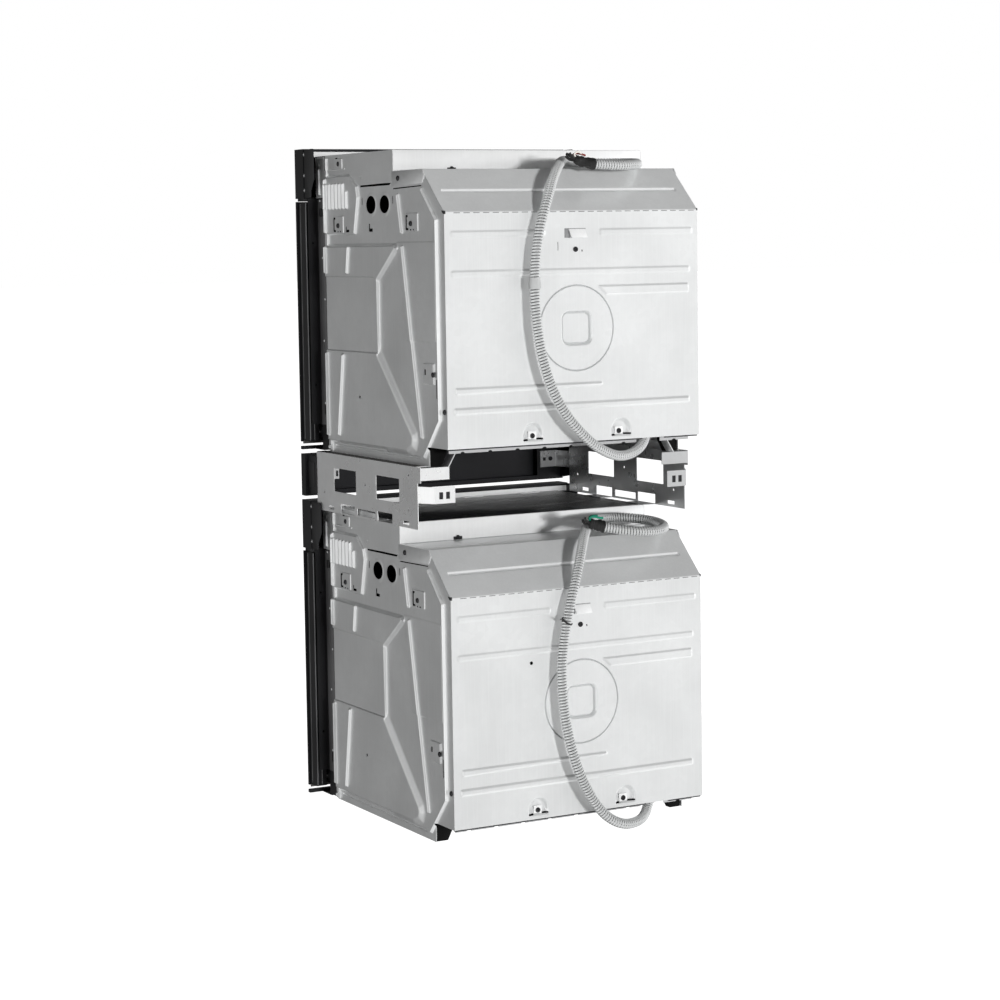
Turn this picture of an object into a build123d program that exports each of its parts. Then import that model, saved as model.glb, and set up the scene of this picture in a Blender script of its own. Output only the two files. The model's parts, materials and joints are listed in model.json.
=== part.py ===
from build123d import *
import math
import os

# Stacked pair of identical built-in ovens with a sheet-metal spacer bay between them.
# Millimetres, +Z up. Doors face -Y, the plain galvanised backs face +Y.
# Origin: middle of the footprint, on the surface that the stack stands on.

# ---- driving dimensions -------------------------------------------------
FRONT_W = 595.0        # doors, control panels and filler panel
FRONT_H = 595.0        # one oven front, trim strip to control panel top
BODY_W = 540.0         # galvanised casing
DEPTH = 575.0          # rear panel's outer face to the door glass
HANDLE_OUT = 45.0      # handle bar in front of the glass
REAR_OUT = 12.0        # hanging tab behind the rear panel
PITCH = 695.0          # base to base, lower oven to upper oven
PANEL_BOTTOM = 36.0    # rear panel's lower edge above the base
BEND_Z = 462.0         # rear panel's fold
SHOULDER_Y = -84.0     # sloped shoulder ends here
SHOULDER_Z = 541.0
TOP_Z = 580.0          # top of the control and cooling compartment
TOP_REAR_Y = -197.0    # its rear plate
SIDE_FRONT_Y = -492.0  # front edge of the side panels
SKIRT_Y = -72.0        # rear end of the side panels' skirt, beside the rear feet
SHEET = 1.0
HINGE_Y, HINGE_Z = -550.0, 36.0
DOOR_Z0, DOOR_Z1 = 16.0, 492.0
PANEL_Z0 = 498.0       # control panel's lower edge
CAV_X, CAV_Z0, CAV_Z1, CAV_REAR = 240.0, 90.0, 450.0, -125.0
FAN_X, FAN_Z = 0.0, 246.0
LEDGES = (150.0, 210.0, 270.0, 330.0)
RACK_Z = 270.0
SPACER_X = 291.0       # outside of the spacer plates
SPACER_SHEET = 1.5
CONDUIT_R = 9.5
GLAND = (-165.0, -26.0, 35.0)   # where the conduit leaves the casing, under the rear panel
GLAND_AXIS = (12.0, 12.0, -14.0)

HB = BODY_W / 2
HF = FRONT_W / 2
# Depths below are counted from the rear panel's outer face; YB puts the footprint's middle at Y = 0.
YB = (DEPTH + HANDLE_OUT - REAR_OUT) / 2

os.makedirs("parts", exist_ok=True)


# ---- helpers --------------------------------------------------------------
def bx(x0, x1, y0, y1, z0, z1):
    return Pos((x0 + x1) / 2, (y0 + y1) / 2, (z0 + z1) / 2) * Box(x1 - x0, y1 - y0, z1 - z0)


def cx(x0, x1, y, z, r):
    return Pos((x0 + x1) / 2, y, z) * Rot(0, 90, 0) * Cylinder(r, x1 - x0)


def cy(y0, y1, x, z, r):
    return Pos(x, (y0 + y1) / 2, z) * Rot(90, 0, 0) * Cylinder(r, y1 - y0)


def cz(z0, z1, x, y, r):
    return Pos(x, y, (z0 + z1) / 2) * Cylinder(r, z1 - z0)


def yz_prism(points, x0, x1):
    wire = Wire.make_polygon([Vector(x0, y, z) for y, z in points], close=True)
    return Solid.extrude(Face(wire), Vector(x1 - x0, 0, 0))


def xy_prism(points, z0, z1):
    wire = Wire.make_polygon([Vector(x, y, z0) for x, y in points], close=True)
    return Solid.extrude(Face(wire), Vector(0, 0, z1 - z0))


def flip(shape):
    return shape.mirror(Plane.YZ)


def both(shape):
    return shape + flip(shape)


def union(items):
    out = items[0]
    for i in items[1:]:
        out = out + i
    return out


def cut(shape, items):
    for i in items:
        shape = shape - i
    return shape


def place(shape, base):
    return Pos(0, YB, base) * shape


def save(name, shape):
    solids = shape.solids() if hasattr(shape, "solids") else [shape]
    out = solids[0] if len(solids) == 1 else Compound(children=[Solid(s.wrapped) for s in solids])
    out.label = name
    export_step(out, f"parts/{name}.step")


def screw_x(x, y, z, long=9.0):
    # pan-head sheet screw driven along -X into a face at x
    return cx(x, x + 2.6, y, z, 4.5) + cx(x - long, x, y, z, 2.0)


def screw_y(x, y, z, long=9.0):
    # pan-head sheet screw driven along -Y into a face at y
    return cy(y, y + 2.6, x, z, 4.5) + cy(y - long, y, x, z, 2.0)


# ---- casing ---------------------------------------------------------------
slope = math.hypot(SHOULDER_Y, SHOULDER_Z - BEND_Z)
ny, nz = (SHOULDER_Z - BEND_Z) / slope, -SHOULDER_Y / slope
dy, dz = SHOULDER_Y / slope, (SHOULDER_Z - BEND_Z) / slope
q = (-ny * SHEET, BEND_Z - nz * SHEET)
t0 = (-SHEET - q[0]) / dy
t1 = (SHOULDER_Z - SHEET - q[1]) / dz
IN_FOLD = (-SHEET, q[1] + t0 * dz)
IN_SHOULDER = (q[0] + t1 * dy, SHOULDER_Z - SHEET)

SIDE_SCREWS = [(-426.0, 443.0), (-127.0, 443.0), (-47.0, 169.0), (-9.0, 103.0), (-176.0, 527.0)]
CHEEK_SCREWS = [(-429.0, 562.0)]
REAR_SCREWS = [(-2.0, 391.0), (93.0, 52.0), (-93.0, 52.0)]


def side_panel():
    deck_under = SHOULDER_Z - SHEET
    s = yz_prism(
        [(SIDE_FRONT_Y, 0), (SKIRT_Y, 0), (SKIRT_Y, PANEL_BOTTOM), (-SHEET, PANEL_BOTTOM), IN_FOLD, IN_SHOULDER, (SIDE_FRONT_Y, deck_under)],
        HB - SHEET, HB)
    s = s + bx(HB - 21, HB - SHEET, SIDE_FRONT_Y, SKIRT_Y - 46, 0, SHEET)              # foot flange
    s = s + bx(HB - 20, HB - SHEET, SIDE_FRONT_Y, SIDE_FRONT_Y + SHEET, SHEET, deck_under)  # front flange
    s = s + bx(HB - 15, HB - SHEET, -2 * SHEET, -SHEET, PANEL_BOTTOM + 3, BEND_Z - 4)   # rear flange
    holes = [cx(HB - 8, HB + 4, -294, 482, 16), cx(HB - 8, HB + 4, -238, 482, 16)]
    holes += [bx(HB - 8, HB + 4, y - 3.5, y + 3.5, 482, 493) for y in (-329, -200)]
    holes += [bx(HB - 8, HB + 4, -484.0 + 15.6 * i, -477.0 + 15.6 * i, 480, 522) for i in range(7)]
    holes += [cx(HB - 30, HB + 4, y, z, 2.2) for y, z in SIDE_SCREWS]
    holes += [cx(HB - 8, HB + 4, -344, 115, 3.0)]
    return cut(s, holes)


def rear_panel():
    s = yz_prism(
        [(0, PANEL_BOTTOM), (0, BEND_Z), (SHOULDER_Y, SHOULDER_Z), (-200, SHOULDER_Z), (-200, SHOULDER_Z - SHEET), IN_SHOULDER, IN_FOLD, (-SHEET, PANEL_BOTTOM)],
        -HB, HB)
    tab = bx(-28, 20, REAR_OUT - SHEET, REAR_OUT, 410, 428) + bx(-28, 20, 0, REAR_OUT, 427, 428)
    s = s + tab
    return cut(s, [cy(-12, 6, x, z, 2.2) for x, z in REAR_SCREWS])


def base_panel():
    s = bx(-HB + SHEET, HB - SHEET, -490, -2.5, PANEL_BOTTOM, PANEL_BOTTOM + SHEET)
    slots = [bx(-150 + 60 * i, -110 + 60 * i, -330 + 70 * j, -322 + 70 * j, 30, 40) for i in range(5) for j in range(3)]
    return cut(s, slots + [bx(-190, -144, -52, 0, 30, 40)])


def deck_panel():
    s = bx(-HB, HB, -490, -200, SHOULDER_Z - SHEET, SHOULDER_Z)
    return cut(s, [bx(-95, 45, -340, -325, 535, 545)])


def top_cover():
    cheek = yz_prism(
        [(TOP_REAR_Y, TOP_Z - SHEET), (TOP_REAR_Y, 519), (-360, 519), (-386, 546), (SIDE_FRONT_Y, 546), (SIDE_FRONT_Y, TOP_Z - SHEET)],
        HB, HB + SHEET)
    cheek = cut(cheek, [cx(HB - 4, HB + 4, y, z, 2.2) for y, z in CHEEK_SCREWS] + [cx(HB - 4, HB + 4, -334, 533, 2.5)])
    s = bx(-HB - SHEET, HB + SHEET, -535, TOP_REAR_Y, TOP_Z - SHEET, TOP_Z)
    s = s + bx(-HB, HB, TOP_REAR_Y - SHEET, TOP_REAR_Y, SHOULDER_Z, TOP_Z - SHEET)
    s = s + both(cheek)
    return s + bx(-HF + 3.5, HF - 3.5, -536, -535, TOP_Z - SHEET, 594)   # upstand behind the control panel


# ---- front ------------------------------------------------------------------
def front_frame():
    s = bx(-290, 290, -534, -532, 52, 497) - bx(-244, 244, -540, -530, 86, 456)
    s = s + bx(-HB, HB, -534, -522, 50, 52) + bx(-HB, HB, -524, -522, 2, 50)
    s = s + bx(-HB, HB, -566, -522, 0.5, 2) + bx(-HF, HF, -575, -566, 0.5, 7)           # trim strip under the door
    column = bx(HB + 0.5, HB + 2, -532, SIDE_FRONT_Y, 4, 578.5) + bx(HB - 15, HB + 2, SIDE_FRONT_Y - 1.5, SIDE_FRONT_Y, 4, SHOULDER_Z - SHEET)
    column = column + bx(HB - 13, HB + 2, -532, -530.5, 52, 497)
    column = column - bx(HB - 2, HB + 4, -533, -525.5, 3, 51)                                # relief for the open door's lower edge
    lug = cx(262, 268, HINGE_Y, HINGE_Z, 12) + bx(262, 268, HINGE_Y, -522, HINGE_Z - 10, HINGE_Z + 10)
    s = s + both(column) + both(lug)
    holes = [both(cx(260, 270, HINGE_Y, HINGE_Z, 5.06))]
    holes += [cy(-540, -530.6, sx * 281, z, 2.5) for sx in (-1, 1) for z in (130, 410)]
    return cut(s, holes)


def control_panel():
    s = bx(-HF, HF, -DEPTH, -536, PANEL_Z0, FRONT_H)
    return s - bx(-HF + 2.5, HF - 2.5, -567, -536, PANEL_Z0 + 2, FRONT_H - 1.5)


def door_seal():
    s = bx(-256, 256, -537.6, -534, 75, 467) - bx(-246, 246, -540, -530, 84, 458)
    return s


def door_outer_glass():
    s = bx(-HF, HF, -DEPTH, -570, DOOR_Z0, DOOR_Z1)
    return s


def door_frame():
    s = bx(-294, 294, -570, -541, DOOR_Z0 + 2, DOOR_Z1 - 2) - bx(-293, 293, -570, -542, DOOR_Z0 + 3, DOOR_Z1 - 3)
    s = s + bx(-216, 216, -570, -541, 99, 441)
    s = s - bx(-215, 215, -571, -540, 100, 440)
    s = s - both(bx(258, 272, -570, -540, 10, 58))
    blocks = bx(248, 258, -564, -542, 22, 50) + bx(272, 282, -564, -542, 22, 50)
    s = s + both(blocks)
    return s - both(cx(246, 284, HINGE_Y, HINGE_Z, 5.02))


def door_inner_glass():
    return bx(-262, 262, -541, -538, 68, 474)


def door_handle():
    s = cx(-235, 235, -612, 455, 8)
    return s + both(cy(-612, -DEPTH, 205, 455, 7))


def door_hinge_pins():
    return [cx(249, 281, HINGE_Y, HINGE_Z, 5.0), cx(-281, -249, HINGE_Y, HINGE_Z, 5.0)]


# ---- cavity and heating -------------------------------------------------------
def cavity():
    w = 1.2
    s = bx(-CAV_X - w, CAV_X + w, -532, CAV_REAR + w, CAV_Z0 - w, CAV_Z1 + w)
    s = s + bx(-256, 256, -532, -531, 76, 466)
    s = s - bx(-CAV_X, CAV_X, -533, CAV_REAR, CAV_Z0, CAV_Z1)
    for z in LEDGES:
        s = s + both(bx(226, CAV_X, -520, -180, z - 5, z))
    holes = [cy(-130, -120, FAN_X, FAN_Z, 7), cy(-130, -120, 190, 410, 16)]
    holes += [cy(-130, -120, sx * 30, 436, 4.2) for sx in (-1, 1)]
    holes += [cy(-130, -120, sx * 22, FAN_Z - 92.4, 4.2) for sx in (-1, 1)]
    return cut(s, holes)


def grill_element():
    z = 436.0
    pts = [(-30, -112), (-30, -205), (-200, -205), (-200, -485), (-130, -485), (-130, -275), (-45, -275), (-45, -485),
           (45, -485), (45, -275), (130, -275), (130, -485), (200, -485), (200, -205), (30, -205), (30, -112)]
    path = FilletPolyline(*[(x, y, z) for x, y in pts], radius=18)
    face = Face(Wire.make_circle(3.2, Plane(origin=(-30, -112, z), z_dir=(0, -1, 0))))
    return sweep(face, path=path)


def ring_element():
    s = Pos(FAN_X, -147, FAN_Z) * Rot(90, 0, 0) * Torus(95, 3.2)
    return s + cy(-147, -112, 22, FAN_Z - 92.4, 3.0) + cy(-147, -112, -22, FAN_Z - 92.4, 3.0)


def fan_cover():
    s = bx(-150, 150, -170, CAV_REAR, FAN_Z - 140, FAN_Z + 140) - bx(-149, 149, -169, CAV_REAR, FAN_Z - 139, FAN_Z + 139)
    holes = []
    for ring, n in ((20, 6), (42, 12)):
        for i in range(n):
            a = 2 * math.pi * i / n
            holes.append(cy(-175, -165, FAN_X + ring * math.cos(a), FAN_Z + ring * math.sin(a), 7.5))
    for i in range(6):
        holes.append(bx(-155, 155, -160, -140, FAN_Z - 110 + 38 * i, FAN_Z - 96 + 38 * i))
    return cut(s, holes)


def fan_wheel():
    s = cy(-150, -86, FAN_X, FAN_Z, 4.0) + cy(-152, -133, FAN_X, FAN_Z, 12) + cy(-135, -133, FAN_X, FAN_Z, 72)
    for i in range(8):
        blade = Pos(FAN_X, 0, FAN_Z) * Rot(0, 45 * i, 0) * bx(10, 70, -157, -134, -0.8, 0.8)
        s = s + blade
    return s


def fan_motor():
    s = cy(-112, -55, FAN_X, FAN_Z, 40) + bx(-60, 60, -113.5, -112, FAN_Z - 15, FAN_Z + 15)
    s = s + both(cy(-123.8, -113.5, 52, FAN_Z, 5)) + cy(-55, -40, FAN_X, FAN_Z, 16)
    return s - cy(-115, -80, FAN_X, FAN_Z, 4.06)


BLOW_Y, BLOW_Z = -288.0, 560.0


def blower_housing():
    s = bx(-110, 60, -320, -255, SHOULDER_Z, 578) - bx(-108, 58, -321, -257, SHOULDER_Z + 2, 576)
    s = s + cx(60, 96, BLOW_Y, BLOW_Z, 15)
    return cut(s, [cx(-112, -106, BLOW_Y, BLOW_Z, 2.56), cx(56, 80, BLOW_Y, BLOW_Z, 2.56)])


def blower_wheel():
    s = cx(-109.5, 78, BLOW_Y, BLOW_Z, 2.5)
    s = s + cx(-102, -100, BLOW_Y, BLOW_Z, 14) + cx(50, 52, BLOW_Y, BLOW_Z, 14) + cx(-26, -24, BLOW_Y, BLOW_Z, 14)
    for i in range(12):
        a = math.radians(30 * i)
        s = s + (Pos(0, BLOW_Y, BLOW_Z) * Rot(30 * i, 0, 0) * bx(-101, 51, 9.5, 13.5, -0.6, 0.6))
    return s


def lamp():
    return cy(-144, CAV_REAR, 190, 410, 20) + cy(CAV_REAR, -92, 190, 410, 15)


def rack():
    z = RACK_Z + 0.3 + 3.0
    x, y0, y1 = 233.0, -522.0, -184.0
    s = union([cx(-x, x, y0, z, 3), cx(-x, x, y1, z, 3), both(cy(y0, y1, x, z, 3))] + [Pos(sx * x, y, z) * Sphere(3) for sx in (-1, 1) for y in (y0, y1)])
    for y in (-400.0, -300.0):
        s = s + cx(-x, x, y, z, 2.4)
    for i in range(15):
        s = s + cy(y0, y1, -196 + 28 * i, z + 1.4, 1.6)
    return s


# ---- supply ----------------------------------------------------------------
def terminal_box():
    # stands on the base panel inside the casing; its slanted gland points down and out through a notch in the base
    s = bx(-215, -135, -80, -6, PANEL_BOTTOM + SHEET, 75) - bx(-213, -137, -78, -8, PANEL_BOTTOM + SHEET + 2, 76)
    axis = Plane(origin=Vector(*GLAND), z_dir=Vector(*GLAND_AXIS))
    s = s + axis * Pos(0, 0, -8) * Cylinder(12.0, 16)
    # bore for the wires, and a mouth past the gland's face that clears the conduit
    return s - axis * Pos(0, 0, -12) * Cylinder(6.5, 26) - axis * Pos(0, 0, 10) * Cylinder(10.3, 20)


# Flexible metal conduit: out of the gland, round in a J, up the rear panel, one loose loop on the shoulder.
ROUTE_LOWER = [
    (-165, -26, 35), (-153, -14, 21), (-132, 4, 10.1), (-103, 26, 9.9), (-71, 39, 12), (-41, 42, 24), (-13, 41.5, 48), (11, 41, 84),
    (31, 40, 127), (46, 36.6, 180), (54.3, 32.8, 232.5), (58, 30.4, 293), (55.3, 28, 338), (45.7, 26.9, 393), (29, 24, 452), (-3, 0, 509),
    (-38, -44, 547), (-78, -95, 563), (-120, -146, 565), (-164, -170, 564), (-208, -156, 562), (-237, -110, 558), (-232, -60, 553),
    (-200, -26, 550), (-158, -16, 551), (-112, -24, 556), (-68, -42, 567)]
ROUTE_UPPER = [
    (-165, -26, 35), (-153, -14, 21), (-117, 2, 7), (-79, 16, 5.5), (-41, 28.5, 18), (-9.6, 36.4, 35), (21, 41, 61), (46.5, 41.2, 89),
    (67.5, 39.5, 124), (82.5, 37.5, 160), (95, 35, 208), (101.5, 32.5, 259), (103.2, 29.8, 313), (101.6, 28.4, 355), (95.6, 27.4, 401),
    (85.5, 26.5, 443), (66, 17, 483), (37, -13, 519), (0, -55, 546), (-40, -108, 557), (-80, -152, 556), (-126, -168, 554),
    (-168, -148, 553), (-190, -106, 552), (-182, -62, 549.5), (-148, -34, 546), (-106, -27, 545), (-62, -30, 548)]


def conduit(route, label):
    pts = [Vector(*p) for p in route]
    radii = []
    for a, b, c in zip(pts, pts[1:], pts[2:]):
        turn = (b - a).get_angle(c - b)
        radii.append(0.45 * min((b - a).length, (c - b).length) / math.tan(math.radians(turn / 2)))
    print(label, "bend radii", [round(r) for r in radii], "shortest", round(min(radii), 1))
    path = FilletPolyline(*route, radius=radii)
    start = pts[1] - pts[0]
    face = Face(Wire.make_circle(CONDUIT_R, Plane(origin=pts[0], z_dir=start)))
    tube = sweep(face, path=path)
    print(label, "length", round(path.length, 1), "volume ratio", round(tube.volume / (math.pi * CONDUIT_R ** 2 * path.length), 4))
    return tube


def wire_tails(end, before, long):
    # taped bundle of supply wires in line with the conduit's end, with bare-ended leads past the tape
    e, b = Vector(*end), Vector(*before)
    d = (e - b).normalized()
    plane = Plane(origin=e, z_dir=d)
    s = plane * Pos(0, 0, long / 2) * Cylinder(8.0, long)
    s = s + plane * Pos(4, 0, long + 9) * Cylinder(2.0, 18.5)
    s = s + plane * Pos(-3, 3.5, long + 7) * Cylinder(2.0, 14.5)
    return s + plane * Pos(-3, -3.5, long + 11) * Cylinder(2.0, 22.5)


def conduit_tie(center, along):
    plane = Plane(origin=Vector(*center), z_dir=Vector(*along))
    return plane * (Cylinder(12.3, 7) - Cylinder(11.05, 9))


# ---- spacer bay --------------------------------------------------------------
SP_TOP, SP_BOT = PITCH, TOP_Z


def spacer_plate():
    w, o = SPACER_SHEET, SPACER_X
    s = yz_prism([(-515, SP_BOT), (-82, SP_BOT), (-82, 666), (-70, 666), (-70, SP_TOP), (-515, SP_TOP)], o - w, o)
    cuts = [bx(o - 5, o + 5, -438, -339, 622, 668), bx(o - 5, o + 5, -253, -156, 622, 668)]
    cuts += [bx(o - 5, o + 5, -408, -347, SP_BOT + w, 600), bx(o - 5, o + 5, -336, -258, 584, 597), bx(o - 5, o + 5, -250, -186, SP_BOT + w, 600)]
    cuts += [bx(o - 5, o + 5, -463, -439, 585, 592), bx(o - 5, o + 5, -142, -117, 585, 592)]
    cuts += [cx(o - 5, o + 5, y, z, 2.5) for y, z in ((-482, 617), (-300, 645), (-118, 678), (-120, 614))]
    s = cut(s, cuts)
    s = s + bx(o - 38, o - w, -515, -92, SP_TOP - w, SP_TOP)                               # shelf under the upper oven
    s = s + bx(262, o - w, -408, -347, SP_BOT, SP_BOT + w) + bx(262, o - w, -250, -186, SP_BOT, SP_BOT + w)  # seats on the lower oven
    s = s + bx(231, o - w, -70 - w, -70, 670.5, SP_TOP - w)                                # upper rear tab
    jog = xy_prism([(o, -84), (o, -82), (272.7, -50), (230, -50), (230, -50 - w), (271.9, -50 - w), (o - w, -82.4), (o - w, -84)], 629, 659.5)
    jog = cut(jog, [bx(x - 4, x + 4, -68, -38, 637, 650) for x in (259, 245)])
    front = xy_prism([(o, -513), (o, -515), (281.8, -554.5), (281.8, -556), (243, -556), (243, -554.5), (280.6, -554.5), (o - w, -515), (o - w, -513)], 629, 663)
    front = cut(front, [bx(249, 256, -570, -540, 642, 649), cy(-570, -540, 267, 646, 2.2)])
    return s + jog + front


def spacer_front_panel():
    s = bx(-HF, HF, -DEPTH, -556, 603, 687) - bx(-HF + 1.2, HF - 1.2, -DEPTH + 1.2, -557.2, 604.2, 685.8)
    s = s - bx(-236, 236, -560, -550, 612, 678)
    return cut(s, [both(cy(-560, -550, 267, 646, 2.2))])


def rear_foot():
    top = Face(Wire.make_polygon([Vector(x, y, PANEL_BOTTOM) for x, y in ((230, -116), (267, -116), (267, -74), (230, -74))], close=True))
    low = Face(Wire.make_polygon([Vector(x, y, 0) for x, y in ((236, -114), (264, -114), (264, -82), (238, -82))], close=True))
    return Solid.make_loft([top.outer_wire(), low.outer_wire()], ruled=True)


# ---- write every piece ---------------------------------------------------------
side, rear = side_panel(), rear_panel()
pieces = {
    "side_panel_right": side, "side_panel_left": flip(side), "rear_panel": rear, "base_panel": base_panel(), "deck_panel": deck_panel(),
    "top_cover": top_cover(), "front_frame": front_frame(), "control_panel": control_panel(), "cavity": cavity(), "door_seal": door_seal(),
    "grill_element": grill_element(), "ring_element": ring_element(), "fan_cover": fan_cover(), "fan_wheel": fan_wheel(), "fan_motor": fan_motor(),
    "blower_housing": blower_housing(), "blower_wheel": blower_wheel(), "lamp": lamp(), "rack": rack(), "door_frame": door_frame(),
    "door_outer_glass": door_outer_glass(), "door_inner_glass": door_inner_glass(), "door_handle": door_handle(), "terminal_box": terminal_box(),
}
for prefix, base in (("lower", 0.0), ("upper", PITCH)):
    for name, shape in pieces.items():
        save(f"{prefix}_{name}", place(shape, base))
    save(f"{prefix}_door_hinge_pins", Compound(children=[place(p, base) for p in door_hinge_pins()]))
    route = ROUTE_LOWER if prefix == "lower" else ROUTE_UPPER
    save(f"{prefix}_conduit", place(conduit(route, prefix), base))
    tail = 30.0 if prefix == "lower" else 46.0
    save(f"{prefix}_wire_tails", place(wire_tails(route[-1], route[-2], tail), base))

save("spacer_plate_right", place(spacer_plate() + bx(279, SPACER_X - SPACER_SHEET, -439.5, -438, 646, 668), 0))
save("spacer_plate_left", place(flip(spacer_plate()), 0))
save("spacer_front_panel", place(spacer_front_panel(), 0))

feet, screws = [], []
for base in (0.0, PITCH):
    for f in (rear_foot(), flip(rear_foot())):
        feet.append(place(f, base))
    for y, z in SIDE_SCREWS:
        s = screw_x(HB, y, z)
        screws += [place(s, base), place(flip(s), base)]
    for y, z in CHEEK_SCREWS:
        s = screw_x(HB + SHEET, y, z)
        screws += [place(s, base), place(flip(s), base)]
    for x, z in REAR_SCREWS:
        screws.append(place(screw_y(x, 0, z), base))
for s in (screw_y(267, -554.5, 646), flip(screw_y(267, -554.5, 646))):
    screws.append(place(s, 0))
save("rear_feet", Compound(children=feet))
save("casing_screws", Compound(children=screws))


ties = [place(conduit_tie((42.6, 26.4, 404), (-16.7, -2.9, 59)), 0.0), place(conduit_tie((102.4, 29.2, 331), (-1.6, -1.4, 42)), PITCH)]
save("conduit_ties", Compound(children=ties))
print("nodes", len(os.listdir("parts")))
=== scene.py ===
import bpy
import bmesh
import json
import math
import numpy as np
from mathutils import Vector, Matrix
from mathutils.geometry import delaunay_2d_cdt


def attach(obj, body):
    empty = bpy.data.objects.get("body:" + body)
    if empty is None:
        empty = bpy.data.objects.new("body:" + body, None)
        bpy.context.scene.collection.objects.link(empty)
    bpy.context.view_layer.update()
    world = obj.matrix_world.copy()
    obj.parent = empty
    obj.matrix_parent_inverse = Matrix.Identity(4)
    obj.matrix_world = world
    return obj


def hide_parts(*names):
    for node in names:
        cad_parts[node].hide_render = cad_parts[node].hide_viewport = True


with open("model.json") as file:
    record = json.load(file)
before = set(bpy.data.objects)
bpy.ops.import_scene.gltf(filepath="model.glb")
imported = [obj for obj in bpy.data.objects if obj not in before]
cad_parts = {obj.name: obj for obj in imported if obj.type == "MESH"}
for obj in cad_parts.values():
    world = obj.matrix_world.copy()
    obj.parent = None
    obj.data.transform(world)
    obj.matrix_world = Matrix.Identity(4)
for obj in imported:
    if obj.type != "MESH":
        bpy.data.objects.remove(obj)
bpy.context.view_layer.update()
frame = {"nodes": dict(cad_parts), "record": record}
NODES = frame["nodes"]
SCENE = bpy.context.scene

# Depths are counted in millimetres from the rear panel's outer face, heights from each oven's base.
YB = 304.0
PITCH = 695.0
HB = 270.0
OVENS = (("lower", 0.0), ("upper", PITCH))


# ---------------------------------------------------------------- node helpers
class Mat:
    """A node material with a Principled shader, and short calls to add nodes to it."""

    def __init__(self, name, color, metallic=0.0, roughness=0.5, **sockets):
        self.m = bpy.data.materials.new(name)
        self.m.use_nodes = True
        self.t = self.m.node_tree
        self.b = self.t.nodes["Principled BSDF"]
        self.b.inputs["Base Color"].default_value = (*color, 1.0)
        self.b.inputs["Metallic"].default_value = metallic
        self.b.inputs["Roughness"].default_value = roughness
        for k, v in sockets.items():
            self.b.inputs[k.replace("_", " ")].default_value = v
        self.m.diffuse_color = (*color, 1.0)
        self._co = None

    def n(self, kind, **props):
        node = self.t.nodes.new(kind)
        for k, v in props.items():
            setattr(node, k, v)
        return node

    def link(self, a, b):
        self.t.links.new(a, b)

    def co(self, scale=(1, 1, 1), rot=(0, 0, 0)):
        if self._co is None:
            self._co = self.n("ShaderNodeTexCoord")
        mp = self.n("ShaderNodeMapping")
        mp.inputs["Scale"].default_value = scale
        mp.inputs["Rotation"].default_value = rot
        self.link(self._co.outputs["Object"], mp.inputs["Vector"])
        return mp.outputs["Vector"]

    def noise(self, scale, detail=3.0, rough=0.5, stretch=(1, 1, 1), rot=(0, 0, 0)):
        nd = self.n("ShaderNodeTexNoise")
        nd.inputs["Scale"].default_value = scale
        nd.inputs["Detail"].default_value = detail
        nd.inputs["Roughness"].default_value = rough
        self.link(self.co(stretch, rot), nd.inputs["Vector"])
        return nd.outputs["Fac"]

    def cells(self, scale, stretch=(1, 1, 1)):
        nd = self.n("ShaderNodeTexVoronoi")
        nd.inputs["Scale"].default_value = scale
        self.link(self.co(stretch), nd.inputs["Vector"])
        return nd

    def ramp(self, fac, stops):
        r = self.n("ShaderNodeValToRGB")
        el = r.color_ramp.elements
        while len(el) < len(stops):
            el.new(0.5)
        for e, (p, c) in zip(el, stops):
            e.position = p
            e.color = (*c, 1.0) if len(c) == 3 else c
        self.link(fac, r.inputs["Fac"])
        return r.outputs["Color"]

    def remap(self, fac, lo, hi, a=0.0, b=1.0):
        r = self.n("ShaderNodeMapRange")
        r.inputs["From Min"].default_value = a
        r.inputs["From Max"].default_value = b
        r.inputs["To Min"].default_value = lo
        r.inputs["To Max"].default_value = hi
        self.link(fac, r.inputs["Value"])
        return r.outputs["Result"]

    def mix(self, a, b, fac, mode="MIX"):
        mx = self.n("ShaderNodeMix", data_type="RGBA", blend_type=mode)
        if isinstance(fac, (int, float)):
            mx.inputs["Factor"].default_value = fac
        else:
            self.link(fac, mx.inputs["Factor"])
        for socket, v in ((mx.inputs[6], a), (mx.inputs[7], b)):
            if isinstance(v, tuple):
                socket.default_value = (*v, 1.0)
            else:
                self.link(v, socket)
        return mx.outputs[2]

    def bump(self, height, strength, distance):
        bp = self.n("ShaderNodeBump")
        bp.inputs["Strength"].default_value = strength
        bp.inputs["Distance"].default_value = distance
        self.link(height, bp.inputs["Height"])
        self.link(bp.outputs["Normal"], self.b.inputs["Normal"])

    def set(self, socket, value):
        self.link(value, self.b.inputs[socket])


def galvanised(name, tint=(0.79, 0.80, 0.80), metallic=0.55, rough=(0.28, 0.36), spangle=0.05):
    """Zinc-coated pressed sheet: faint crystal spangle, rolling streaks, cloudy roughness."""
    m = Mat(name, tint, metallic)
    cloud = m.noise(7.0, 4.0, 0.55)
    streak = m.noise(9.0, 3.0, 0.6, stretch=(26, 26, 0.7))
    crystal = m.cells(85.0)
    fine = m.noise(1500.0, 2.0, 0.6)
    dark = tuple(c * (1 - 1.6 * spangle) for c in tint)
    light = tuple(min(1.0, c * (1 + spangle)) for c in tint)
    a = m.ramp(cloud, [(0.3, dark), (0.7, light)])
    sep = m.n("ShaderNodeSeparateColor")
    m.link(crystal.outputs["Color"], sep.inputs["Color"])
    b = m.mix(a, tuple(c * 0.93 for c in tint), m.remap(sep.outputs[0], 0.0, 0.35))
    c = m.mix(b, tuple(min(1.0, c * 1.05) for c in tint), m.remap(streak, 0.0, 0.4, 0.45, 0.75))
    m.set("Base Color", c)
    m.set("Roughness", m.remap(m.mix(cloud, sep.outputs[1], 0.3), rough[0], rough[1], 0.25, 0.75))
    m.bump(fine, 0.12, 0.0004)
    return m.m


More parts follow.
